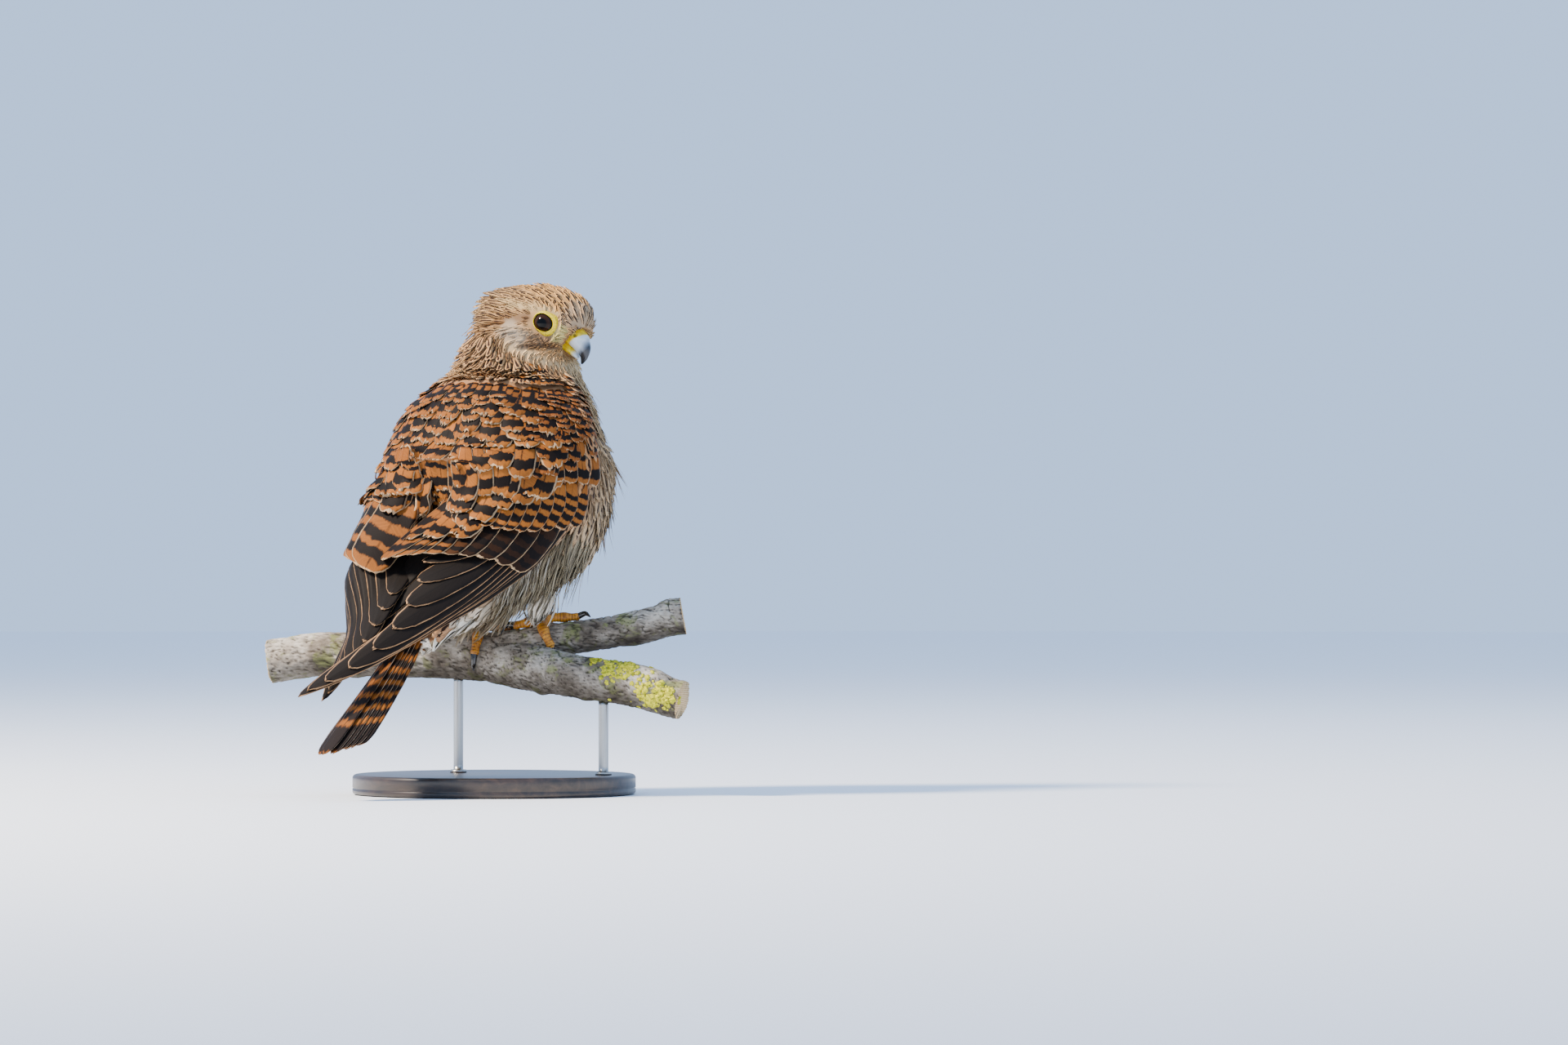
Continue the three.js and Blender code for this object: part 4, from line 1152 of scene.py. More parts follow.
def row_seeds(reach, end, spacing, wide, low, high):
    """Staggered rows on both sides, as along, degrees, row spacing and half width."""
    found = []
    k = 0
    while reach < end:
        step = np.interp(reach, *spacing)
        turn = -high + (k % 2) * 2.2
        while turn < high:
            along = float(reach + arch(turn))
            broad = np.interp(reach, *wide) * np.interp(abs(turn), *np.transpose(BROAD))
            if abs(turn) >= low and along > 10 and (reach < 60 or abs(turn) < 37):
                found.append((along + 0.8 * chance.normal(), turn + 0.8 * chance.normal(), step, broad / 2))
            turn += np.degrees(broad * 0.8 / (cloak.girth(np.array([along]))[0] + 9))
        reach += step
        k += 1
    return np.array(found)


HEAD_REACH = 33.5  # rows stay this far from the head's middle


def row_feathers(name, found, marks, tint, surface, long, tip_lift):
    """One piece of the feathers of some rows, whose paths walk over the skin and the wing feathers."""
    roots = cloak.at(found[:, 0], found[:, 1], 9)
    lengths = found[:, 2] * long * (1 + 0.05 * chance.normal(0, 1, len(found)))
    twist = np.radians(chance.normal(0, 5, len(found)))[:, None]

    def outward(points):
        return on_cloak.outward[on_cloak.nearest(points)]

    def way(points):
        ahead = on_cloak.ahead[on_cloak.nearest(points)]
        return unit(ahead + np.cross(ahead, outward(points)) * twist)

    path, out = march(roots, lengths * MM, surface, way, outward)
    clear = head_distance(path).min(1) > HEAD_REACH
    path, out, found, marks, tint = path[clear], out[clear], found[clear], marks[clear], tint[clear]
    # a feather is stiff: it bridges small hollows, so its path and its normals are evened out
    for _ in range(2):
        for rows in (path, out):
            rows[:, 1:-1] = (rows[:, :-2] + 2 * rows[:, 1:-1] + rows[:, 2:]) / 4
    uneven = 0.12 * chance.normal(0, 1, len(found))
    lift = (uneven - 0.8)[:, None] + (tip_lift + 0.8) * scale_blank.s ** 0.8
    patch = patches(0.03 + 0.9 * (found[:, 1] + 100) / 200, 0.03 + 0.9 * found[:, 0] / 150, 0.02, 0.025)
    mesh = laid_feathers(name, scale_blank, path, unit(out), found[:, 3], SCALE, lift, marks, tint, patch,
                         thick=0.09, camber=0.2, fray=0.04)
    return finished(mesh, mantle_paint)


SCALE = [[0, 0.5], [0.3, 0.9], [0.6, 1.0], [0.85, 0.94], [0.95, 0.76], [1, 0.42]]
scale_blank = Blank(8, 12, crowd=1.25)
back_surface = surface_of(skin_mesh, *(p.data for p in wing_pieces if "primary" not in p.name))
BACK_STEPS = [-27, -12, 10, 40, 97]
back = row_seeds(-27, 97, (BACK_STEPS, [4.6, 6.4, 7.4, 8.2, 9.2]), (BACK_STEPS, [8, 11, 13, 14, 15]), 0, 64)
near_neck = eased(50, 18, back[:, 0])
back_marks = marks_for(len(back), streak=0.1 + 0.35 * near_neck, bar=1.0, fringe=0.85 - 0.4 * near_neck)
back_tint = tint_for(len(back), "#864f1d", 0.16)
row_feathers("mantle_feathers", back, back_marks, back_tint, back_surface, long=3.2, tip_lift=3.0)
lesser = row_seeds(14, 68, ([14, 68], [4.2, 5.4]), ([14, 68], [9.5, 11.0]), 52, 99)
lesser = lesser[np.abs(lesser[:, 1]) < 99]
lesser_marks = marks_for(len(lesser), streak=0.34, bar=1.0, fringe=0.3)
lesser_tint = tint_for(len(lesser), "#784319", 0.1)
row_feathers("lesser_coverts", lesser, lesser_marks, lesser_tint, back_surface, long=3.0, tip_lift=2.6)
print("rows over the back", len(back), "and", len(lesser))

# %% [markdown]
# ## Loose feathers
# Some long, soft feathers of breast and flank have come loose. They stand off the body at its right edge as
# fine points, and hang over the thighs. The table gives for each lot its count, the reach along the trunk
# and the degrees where it grows, the range of lengths, the half width, and how far it stands off and
# drifts.

# %% Feathers that stand off the body
wisp_blank = Blank(2, 7)
WISP = [[0, 0.4], [0.3, 0.9], [0.55, 1.0], [0.8, 0.6], [1, 0.06]]


def loose_feathers(name, lot):
    """Long feathers that leave the body at a slant, drift sideways and end in a point."""
    along = chance.uniform(*lot["along"], lot["count"])
    turn = chance.uniform(*lot["degrees"], lot["count"])
    ahead = unit(trunk.at(along + 9, turn) - trunk.at(along - 9, turn))
    nearby = unit(trunk.at(along + 2, turn) - trunk.at(along - 2, turn))
    level = (ahead * nearby).sum(1) > 0.93  # no roots in the fold of the breast
    along, turn, ahead = along[level], turn[level], ahead[level]
    count = len(along)
    place = trunk.at(along, turn, -1.5)
    normal = unit(trunk.at(along, turn, 4) - place)
    long = chance.uniform(*lot["lengths"], count)[:, None] * MM
    off = lot["stand"] * chance.uniform(0.2, 1.0, (count, 1))
    sway = VIEW_RIGHT * lot["aside"] + [0, 0, -lot["fall"]] + chance.normal(0, 0.12, (count, 3))
    steps = np.linspace(0, 1, 7)
    path = np.stack([place + long * (ahead * t + normal * off * t + sway * t * t) for t in steps], 1)
    out = np.repeat(normal[:, None], len(steps), axis=1)
    colour = np.tile(linear(lot["colour"]), (count, 1)) if "colour" in lot else markings(place)[0]
    tone = chance.uniform(0.6, 1.15, (count, 1))
    tint = np.concatenate([np.clip(colour * tone, 0, 1), chance.random((count, 1))], 1)
    marks = marks_for(count, streak=chance.uniform(0.1, 0.6, count))
    half = lot["half"] * chance.uniform(0.5, 1.2, count)
    mesh = laid_feathers(name, wisp_blank, path, out, half, WISP, 0.0, marks, tint,
                         trunk_patch(on_trunk.nearest(place)), thick=0.04, camber=0.2, fray=0.02)
    return finished(mesh, small_paint)


VIEW_RIGHT = np.array([-np.cos(VIEW_TURN), -np.sin(VIEW_TURN), 0])
LOOSE = {
    "flank": {"count": 420, "along": (99, 136), "degrees": (92, 136), "lengths": (16, 28), "half": 1.3,
              "stand": 0.06, "aside": 0.04, "fall": 0.3, "colour": "#a89778"},
    "breast": {"count": 260, "along": (28, 90), "degrees": (90, 150), "lengths": (12, 20), "half": 1.1,
               "stand": 0.1, "aside": 0.03, "fall": 0.12},
    "thigh": {"count": 240, "along": (112, 134), "degrees": (66, 140), "lengths": (14, 26), "half": 1.1,
              "stand": 0.06, "aside": 0.03, "fall": 0.35, "colour": "#c9bda6"},
}
for where, lot in LOOSE.items():
    loose_feathers(f"loose_{where}_feathers", lot)

# %% [markdown]
# ## The skin as a piece
# The skin shows only in the gaps between feathers, so it carries the same colours as the coat, darkened as
# painted shade.

# %% Skin piece
# matt, with painted shade: the coat's colours at seven tenths darken the gaps between the feathers
skin_paint, tree, shader = new_material("downy skin under the coat with painted shade", 0.85)
feed(shader, {"Base Color": node(tree, "Attribute", attribute_name="tint")})
shaded_skin_colour = markings(points_of(skin_mesh))[0] * 0.7
skin_tint = np.concatenate([shaded_skin_colour, np.ones((len(shaded_skin_colour), 1))], 1)
skin_marks = skin_mesh.attributes.new("tint", "FLOAT_COLOR", "POINT")
skin_marks.data.foreach_set("color", skin_tint.ravel())
skin = finished(skin_mesh, skin_paint)
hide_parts("torso", "neck", "head", "thigh_right", "thigh_left", "wing_right", "wing_left")

# %% [markdown]
# ## Eyes and their bare rings
# A kestrel's eye is nearly black: a dark brown iris round a wide pupil, under a clear, strongly curved
# cornea. Each eye is a form turned about its own axis, with the cornea as a gentle bulge in front. Round it
# lies a bare ring of bright yellow skin, widest towards the bill, with fine grains like those of all bare
# bird skin.

# %% The eye's own frame
def marked(piece, name, values):
    """Keeps one number for each corner of a piece, for its paint to read."""
    piece.data.attributes.new(name, "FLOAT", "POINT").data.foreach_set("value", np.asarray(values, float))


def eye_frame(side):
    """The eye's middle, and the directions outwards, towards the bill and upwards."""
    middle = in_head(EYE["forward"], EYE["up"], side * EYE["right"])
    out = unit(in_head(0.32, 0.06, side) - in_head(0, 0, 0))
    ahead = unit(in_head(1, 0, 0) - in_head(0, 0, 0))
    ahead = unit(ahead - out * (ahead @ out))
    return middle, out, ahead, np.cross(out, ahead) * side


def about_eye(side, reach, turn, height):
    """A point from its distance to the eye's axis, its turn from the bill's side upwards, and its height."""
    middle, out, ahead, above = eye_frame(side)
    flat = reach * np.cos(turn), reach * np.sin(turn)
    return middle + MM * (flat[0][..., None] * ahead + flat[1][..., None] * above + height[..., None] * out)

# %% Eyeballs
# smooth and wet, so the eye holds one small, sharp highlight; the iris is hardly paler than the pupil
eye_paint, tree, shader = new_material("wet dark brown eye", 0.03, Specular_IOR_Level=0.14)
reach = node(tree, "Attribute", attribute_name="reach").outputs["Fac"]
place_of = node(tree, "TexCoord").outputs["Object"]
flecks = node(tree, "TexNoise", {"Vector": place_of, "Scale": 9000.0, "Detail": 4.0})
uneven = node(tree, "Math", {0: flecks, 1: 0.12, 2: reach}, operation="MULTIPLY_ADD")
iris = node(tree, "ValToRGB", {"Fac": uneven},
            [(0.44, "#020202"), (0.5, "#20120a"), (0.68, "#2c190d"), (0.8, "#070505")])
feed(shader, {"Base Color": iris})

for name, side in (("right", 1), ("left", -1)):
    def eyeball(t, turn, share):
        angle = np.pi * t
        radius = EYE["radius"] + 0.3 * np.exp(-(angle / 0.6) ** 2)
        return about_eye(side, radius * np.sin(angle) * share, turn, radius * np.cos(angle))

    form = round_form(eyeball, 48, 32)
    eye = shown(form, f"eyeball_{name}", eye_paint)
    middle, out, _, _ = eye_frame(side)
    away = points_of(eye.data) - middle
    depth = away @ out
    off_axis = np.linalg.norm(away - depth[:, None] * out, axis=1) / (EYE["radius"] * MM)
    marked(eye, "reach", np.where(depth > 0, off_axis, 1.0))
    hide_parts(f"eye_{name}")
print("eyes ready")

# %% The yellow rings
RING = {"inner": 4.75, "almond": 0.45, "outer": 5.85, "towards_bill": 2.7, "skirt": 3.7, "raised": 0.55}
# bare skin: soft light from within, and darker grooves between its grains
ring_paint, tree, shader = new_material("bare yellow eye ring", 0.45, Specular_IOR_Level=0.4,
                                        Subsurface_Weight=0.08, Subsurface_Scale=0.0006)
place_of = node(tree, "TexCoord").outputs["Object"]
grains = node(tree, "TexVoronoi", {"Vector": place_of, "Scale": 1500.0})
ring_tone = node(tree, "ValToRGB", {"Fac": grains}, [(0.0, "#dcc800"), (0.6, "#c9b000"), (0.95, "#7d6400")])
relief = node(tree, "Bump", {"Height": grains, "Strength": 0.5, "Distance": 0.0002}, invert=True)
feed(shader, {"Base Color": ring_tone, "Normal": relief})


def ring_form(side):
    def place(a, b):
        turn, round_section = a * 2 * np.pi, b * 8
        bill_side = eased(-0.1, 1, np.cos(turn + 0.1))
        outer = RING["outer"] + RING["towards_bill"] * bill_side
        skirt = RING["skirt"] - 1.3 * bill_side
        ones = np.ones_like(turn)
        inner = RING["inner"] + RING["almond"] * np.cos(2 * turn) + RING["raised"] * np.sin(turn)
        outer = outer + RING["raised"] * np.sin(turn) - 0.4 * np.maximum(0, -np.sin(turn))
        lip = np.sqrt((EYE["radius"] + 0.2) ** 2 - inner ** 2)
        reach = np.array([inner, inner + 0.05, inner + 0.4, inner * 0.4 + outer * 0.6, outer * 0.94, outer,
                          outer - 0.3, 5.0 * ones])
        height = np.array([lip - 0.2, lip + 0.3, lip * 0.6 + 2.1, lip * 0.4 + 2.75 - 0.3 * bill_side,
                           skirt + 0.45, skirt, skirt - 1.0, 2.7 * ones])
        i = np.minimum(round_section.astype(int), 7)
        f = round_section - i
        f = f * f * (3 - 2 * f) * 0.5 + f * 0.5
        pick = np.arange(len(turn))
        following = (i + 1) % 8
        reach = reach[i, pick] * (1 - f) + reach[following, pick] * f
        height = height[i, pick] * (1 - f) + height[following, pick] * f
        grain = 0.05 * np.sin(turn * 26) * np.sin(round_section * 5)
        return about_eye(side, reach, turn, height + grain)

    return welded(sheet(place, 96, 32))


for name, side in (("right", 1), ("left", -1)):
    shown(ring_form(side), f"eye_ring_{name}", ring_paint)
print("eye rings ready")

# %% [markdown]
# ## The bill
# The upper half is a curved horn: short, deep and hooked. A soft yellow skin, the cere, lies over its root
# with a small step where it ends, and holds a round nostril with a little cone inside, as in all falcons.
# The horn is pale blue-grey at the root and dark at the tip, and polished by use.

# %% Bill pieces and paint
UPPER_BILL = [[16, 0.2, 0, 5, 5.6], [20, 0, 0, 5, 5.6], [24, -1.2, 0, 4.7, 4.9], [27.3, -3.4, 0, 3.9, 3.5],
              [29.3, -6.6, 0, 2.2, 1.9], [29.6, -10.4, 0, 0.4, 0.4]]
LOWER_BILL = [[15, -6.4, 0, 2.4, 4.9], [20, -6.9, 0, 2.2, 4.4], [24, -7.8, 0, 1.6, 3.1],
              [26.6, -8.9, 0, 0.6, 1]]
NOSTRIL = {"forward": 21.5, "turn": np.radians(60), "radius": 1.05}


def past_cere(forward, up):
    """How far a place of the upper bill lies in front of the cere's slanting edge."""
    return forward - 22.5 - 0.66 * up


def upper_ripple(forward, turn):
    """The cere's step, the nostril with its cone, and the small tooth of the cutting edge."""
    side_turn = np.abs((turn + np.pi) % (2 * np.pi) - np.pi)
    off = np.hypot(forward - NOSTRIL["forward"], (side_turn - NOSTRIL["turn"]) * 5.2) / NOSTRIL["radius"]
    hole = -1.3 * eased(1.0, 0.75, off) + 0.9 * eased(0.42, 0.1, off)
    hole = hole + 0.22 * np.exp(-((off - 1.25) / 0.3) ** 2)
    tooth = 0.35 * np.exp(-((forward - 27.6) / 0.5) ** 2) * eased(2.2, 2.7, side_turn)
    ridge = 0.15 * np.exp(-(side_turn / 0.35) ** 2) * eased(22, 24, forward)
    step = 0.36 * eased(0.3, -0.2, past_cere(forward, 4.7 * np.cos(side_turn) - 0.3))
    return step + hole + tooth + ridge


print("bill form ready")

# %% Bill paint
# polished horn: a clear coat over pale blue-grey that darkens to the tip, with a waxy yellow cere
bill_paint, tree, shader = new_material("polished horn bill with a yellow cere", 0.28, IOR=1.54,
                                        Coat_Weight=0.25, Coat_Roughness=0.2)
place_of = node(tree, "TexCoord").outputs["Object"]
streaks = node(tree, "TexNoise", {"Vector": place_of, "Scale": 420.0, "Detail": 5.0, "Roughness": 0.6})
tipward = node(tree, "Attribute", attribute_name="tipward").outputs["Fac"]
wavy = node(tree, "Math", {0: streaks, 1: 0.14, 2: tipward}, operation="MULTIPLY_ADD")
horn = node(tree, "ValToRGB", {"Fac": wavy},
            [(0.0, "#e6eaec"), (0.6, "#c6ced5"), (0.84, "#7d858f"), (1.0, "#1f2126")])
waxy = node(tree, "ValToRGB", {"Fac": streaks}, [(0.35, "#d8b000"), (0.65, "#fadc10")])
cere_share = node(tree, "Attribute", attribute_name="cere").outputs["Fac"]
with_cere = node(tree, "Mix", {0: cere_share, 6: horn, 7: waxy}, data_type="RGBA")
# painted shade: the nostril's hollow is darkened to deep brown
nostril_shade_share = node(tree, "Attribute", attribute_name="hollow").outputs["Fac"]
bill_colour = node(tree, "Mix", {0: nostril_shade_share, 6: with_cere, 7: paint("#241a0c")}, data_type="RGBA")
relief = node(tree, "Bump", {"Height": streaks, "Strength": 0.25, "Distance": 0.00015})
feed(shader, {"Base Color": bill_colour, "Normal": relief})

# %% The two halves of the bill
def bill_marks(piece, along, cere, hole):
    marked(piece, "tipward", along)
    marked(piece, "cere", cere)
    marked(piece, "hollow", hole)


upper = shown(head_tube(UPPER_BILL, 80, 72, upper_ripple), "bill_upper_horn", bill_paint)
forward, up, right = head_place(points_of(upper.data))
nostril_off = np.hypot(up - 2.1, np.abs(right) - 4.7)
nostril_off = np.hypot(forward - NOSTRIL["forward"], nostril_off) / NOSTRIL["radius"]
bill_marks(upper, eased(22, 31.5, forward + 0.45 * np.maximum(0, -3 - up)),
           eased(0.3, -0.1, past_cere(forward, up)), eased(0.95, 0.7, nostril_off) * 0.9)
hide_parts("bill_upper")
lower = shown(head_tube(LOWER_BILL, 56, 40), "bill_lower_horn", bill_paint)
forward, up, right = head_place(points_of(lower.data))
bill_marks(lower, eased(20, 30, forward) * 0.7, eased(25.5, 22.5, forward), 0 * forward)
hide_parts("bill_lower")
print("bill ready")

# %% [markdown]
# ## The perch
# The bird grips a forked birch twig, cut to a short length. Each arm is a tube along a smooth curve, and
# its surface is moved in and out by layered noise: slow swellings, knots, and fine cracks. Lichen grows on
# it, grey-green as thin crusts in the paint, and yellow as small lobed rosettes that are pieces of their
# own.

# %% Routes of the two arms
STEM = [[-116, 30, 66.5, 11], [-93, 27.5, 69.7, 11.2], [-60, 24, 71, 11.6], [-27, 20.5, 70.5, 12.1],
        [-4, 17, 69.5, 12.4], [14, 11.5, 73, 10.6], [26, 7.8, 77.2, 8.8], [39.4, 6, 79, 8.3],
        [56, 5, 81.6, 8.2], [72.6, 4, 84, 8.8], [89, 3, 89, 9], [96, 3, 90.3, 9.2]]
ARM = [[-10, 17, 69, 9], [2, 12, 67, 11.6], [16, 2, 64.6, 11.6], [30, -9, 62.4, 11.2], [39.4, -14, 60.4, 11],
       [56, -20, 57.7, 10.7], [72.6, -25, 55.4, 11], [89, -29, 49.7, 10], [96, -31, 48, 9.9]]
KNOTS = [[83, -33, 58, 5.5, 2.6], [-88, 18, 76, 7, 1.3], [70, 8, 90, 6, 1.1], [24, -8, 50.5, 4, 1.6],
         [-72, 22, 59, 5, 1.2], [46, -22, 48, 4, 1.5], [88, 0, 98, 5, 1.2]]


def on_perch(across, away, up):
    """A point from its place across the photograph's view, away from it, and up."""
    across, away, up = np.broadcast_arrays(*(np.asarray(v, float) for v in (across, away, up)))
    cos, sin = np.cos(VIEW_TURN), np.sin(VIEW_TURN)
    return np.stack([-across * cos + away * sin, -across * sin - away * cos, up], -1)


def perch_rows(rows):
    rows = np.array(rows, float)
    return np.concatenate([on_perch(rows[:, 0], rows[:, 1], rows[:, 2]), rows[:, 3:4]], 1)


print("perch routes", len(STEM), len(ARM))

# %% Bark on a tube
def bark_relief(bm):
    """Moves a tube's corners in and out along their normals, as bark does, and returns its cracks."""
    bm.normal_update()
    knots = [(Vector(on_perch(*knot[:3])), *knot[3:]) for knot in KNOTS]
    heights, cracks = [], []
    for vertex in bm.verts:
        spot = vertex.co / MM
        slow = noise.noise(spot * 0.045) * 0.8 + noise.noise(spot * 0.14) * 0.45
        scaly = noise.noise(spot * Vector((0.5, 0.5, 0.9))) * 0.3
        fine = noise.noise(spot * 1.6) * 0.1
        seam = noise.noise(spot * Vector((0.16, 0.16, 0.55)) + Vector((7, 3, 1)))
        crack = -0.55 * max(0, 1 - 9 * abs(seam))
        knot = sum(high * np.exp(-((spot - at).length / wide) ** 2) for at, wide, high in knots)
        heights.append(vertex.normal * float(slow + scaly + fine + crack + knot) * MM)
        cracks.append(crack)
    for vertex, height in zip(bm.verts, heights):
        vertex.co += height
    return np.array(cracks)


def branch_piece(name, rows, along):
    """One arm of the perch, with marks for its sawn ends, its cracks and the painted shade of its underside.
    """
    rows = perch_rows(rows)
    bm = tube(rows, 96, along)
    cracks = bark_relief(bm)
    piece = shown(bm, name, bark_paint)
    spots = points_of(piece.data) / MM
    (first, second), (before_last, last) = rows[:2, :3], rows[-2:, :3]
    past_first = (spots - first) @ unit(first - second)
    past_last = (spots - last) @ unit(last - before_last)
    marked(piece, "cut", np.maximum(past_first, past_last) > -0.25)
    marked(piece, "crack", np.clip(-cracks * 1.8, 0, 1))
    # painted shade: how far each corner faces down, for the paint to darken
    marked(piece, "under", eased(0.15, -0.75, normals_of(piece.data)[:, 2]))
    return piece


# %% Birch bark
# dry and dull, in greys that drift over centimetres, with grit about a millimetre across
bark_paint, tree, shader = new_material("weathered birch bark with lichen crusts", 0.88,
                                        Specular_IOR_Level=0.25)
place_of = node(tree, "TexCoord").outputs["Object"]
broad = node(tree, "TexNoise", {"Vector": place_of, "Scale": 55.0, "Detail": 6.0, "Roughness": 0.62})
bark_tone = node(tree, "ValToRGB", {"Fac": broad},
                 [(0.3, "#4f463b"), (0.44, "#85796a"), (0.55, "#b3a898"), (0.72, "#d6cebf")])
stretched = node(tree, "Mapping", {"Vector": place_of, "Scale": (260.0, 260.0, 900.0)})
grit = node(tree, "TexNoise", {"Vector": stretched, "Scale": 1.0, "Detail": 6.0, "Roughness": 0.7})
grit_light = node(tree, "MapRange", {0: grit, 1: 0.3, 2: 0.7, 3: 0.62, 4: 1.22})
gritty = node(tree, "VectorMath", {0: bark_tone, "Scale": grit_light}, operation="SCALE")
# crusts of grey-green lichen, about a centimetre across
crust = node(tree, "TexNoise", {"Vector": place_of, "Scale": 95.0, "Detail": 5.0, "Roughness": 0.7,
                                "Distortion": 0.4})
crust_share = node(tree, "ValToRGB", {"Fac": crust}, [(0.53, BLACK), (0.6, GREY[7]), (0.75, GREY[9])])
crust_tone = node(tree, "Mix", {0: grit, 6: paint("#4d5423"), 7: paint("#a3a567")}, data_type="RGBA")
crusted = node(tree, "Mix", {0: crust_share, 6: gritty, 7: crust_tone}, data_type="RGBA")
# dark peeling patches and the cracks
peel = node(tree, "TexNoise", {"Vector": place_of, "Scale": 40.0, "Detail": 7.0, "Roughness": 0.75})
peel_share = node(tree, "ValToRGB", {"Fac": peel}, [(0.34, GREY[8]), (0.42, BLACK)])
peeled = node(tree, "Mix", {0: peel_share, 6: crusted, 7: paint("#3a2c20")}, data_type="RGBA")
crack_share = node(tree, "Attribute", attribute_name="crack").outputs["Fac"]
cracked = node(tree, "Mix", {0: crack_share, 6: peeled, 7: paint("#2a211a")}, data_type="RGBA")
# painted shade: the underside is darkened
under_share = node(tree, "Attribute", attribute_name="under").outputs["Fac"]
painted_underside_shade = node(tree, "Math", {0: under_share, 1: 0.72}, operation="MULTIPLY")
shaded = node(tree, "Mix", {0: painted_underside_shade, 6: cracked, 7: paint("#2c251d")}, data_type="RGBA")
# the sawn ends show pale wood
cut_share = node(tree, "Attribute", attribute_name="cut").outputs["Fac"]
rings = node(tree, "TexWave", {"Vector": place_of, "Scale": 320.0, "Distortion": 3.0, "Detail": 3.0},
             wave_type="BANDS", bands_direction="Z")
wood = node(tree, "Mix", {0: rings.outputs["Fac"], 6: paint("#b78f5e"), 7: paint("#dcc295")},
            data_type="RGBA")
bark_colour = node(tree, "Mix", {0: cut_share, 6: shaded, 7: wood}, data_type="RGBA")
rough_height = node(tree, "Math", {0: grit, 1: 1.0, 2: crust}, operation="MULTIPLY_ADD")
relief = node(tree, "Bump", {"Height": rough_height, "Strength": 0.7, "Distance": 0.0006})
feed(shader, {"Base Color": bark_colour, "Normal": relief})

# %% The two arms
stem_piece = branch_piece("branch_stem_bark", STEM, 260)
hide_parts("branch_stem")
arm_piece = branch_piece("branch_arm_bark", ARM, 170)
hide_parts("branch_arm")
print("branch", len(stem_piece.data.polygons) + len(arm_piece.data.polygons), "faces")

# %% Yellow lichen rosettes
# Each rosette is a crowd of small cupped lobes. A lobe is a tiny dome, pressed flat on the bark.
LICHEN_PLACES = [[60, -26, 62, 9], [66, -29, 61, 8], [77, -33, 55, 8], [84, -36, 51, 9], [80, -36, 48, 6],
                 [70, -30, 63, 5], [90, -38, 50, 6], [52, -22, 66, 4]]
perch_surface = surface_of(stem_piece.data, arm_piece.data)


def lichen_lobes():
    whole = bmesh.new()
    for across, away, up, wide in LICHEN_PLACES:
        middle = on_perch(across, away, up)
        for _ in range(int(11 * wide)):
            spot = (middle + chance.normal(0, wide * 0.27, 3)) * MM
            place, normal, _, _ = perch_surface.find_nearest(spot)
            size = chance.uniform(0.7, 1.6) * MM
            turn = normal.to_track_quat("Z", "Y").to_matrix().to_4x4()
            for vertex in bmesh.ops.create_icosphere(whole, subdivisions=1, radius=1.0)["verts"]:
                x, y, z = vertex.co
                ridge = 1 + 0.28 * np.sin(5 * np.arctan2(y, x) + across)
                cupped = Vector((x * ridge, y * ridge, z * 0.5 + 0.25 * vertex.co.xy.length))
                vertex.co = place + turn @ (cupped * size)
    return whole


# dusty and matt, mottled from olive green to yellow
lichen_paint, tree, shader = new_material("yellow foliose lichen", 0.9)
place_of = node(tree, "TexCoord").outputs["Object"]
mottle = node(tree, "TexNoise", {"Vector": place_of, "Scale": 700.0, "Detail": 4.0})
lichen_tone = node(tree, "ValToRGB", {"Fac": mottle}, [(0.3, "#7f8516"), (0.5, "#c8c21d"), (0.7, "#e3dc3c")])
feed(shader, {"Base Color": lichen_tone})
lichen = shown(lichen_lobes(), "lichen_rosettes", lichen_paint)
print("lichen", len(lichen.data.polygons), "faces")

# %% [markdown]
# ## Feet and claws
# The toes are orange-yellow and ringed with broad scutes. A toe is a tube whose radius swells at the
# joints, and shallow rings are pressed into it. The claws are black, strongly curved and smooth.

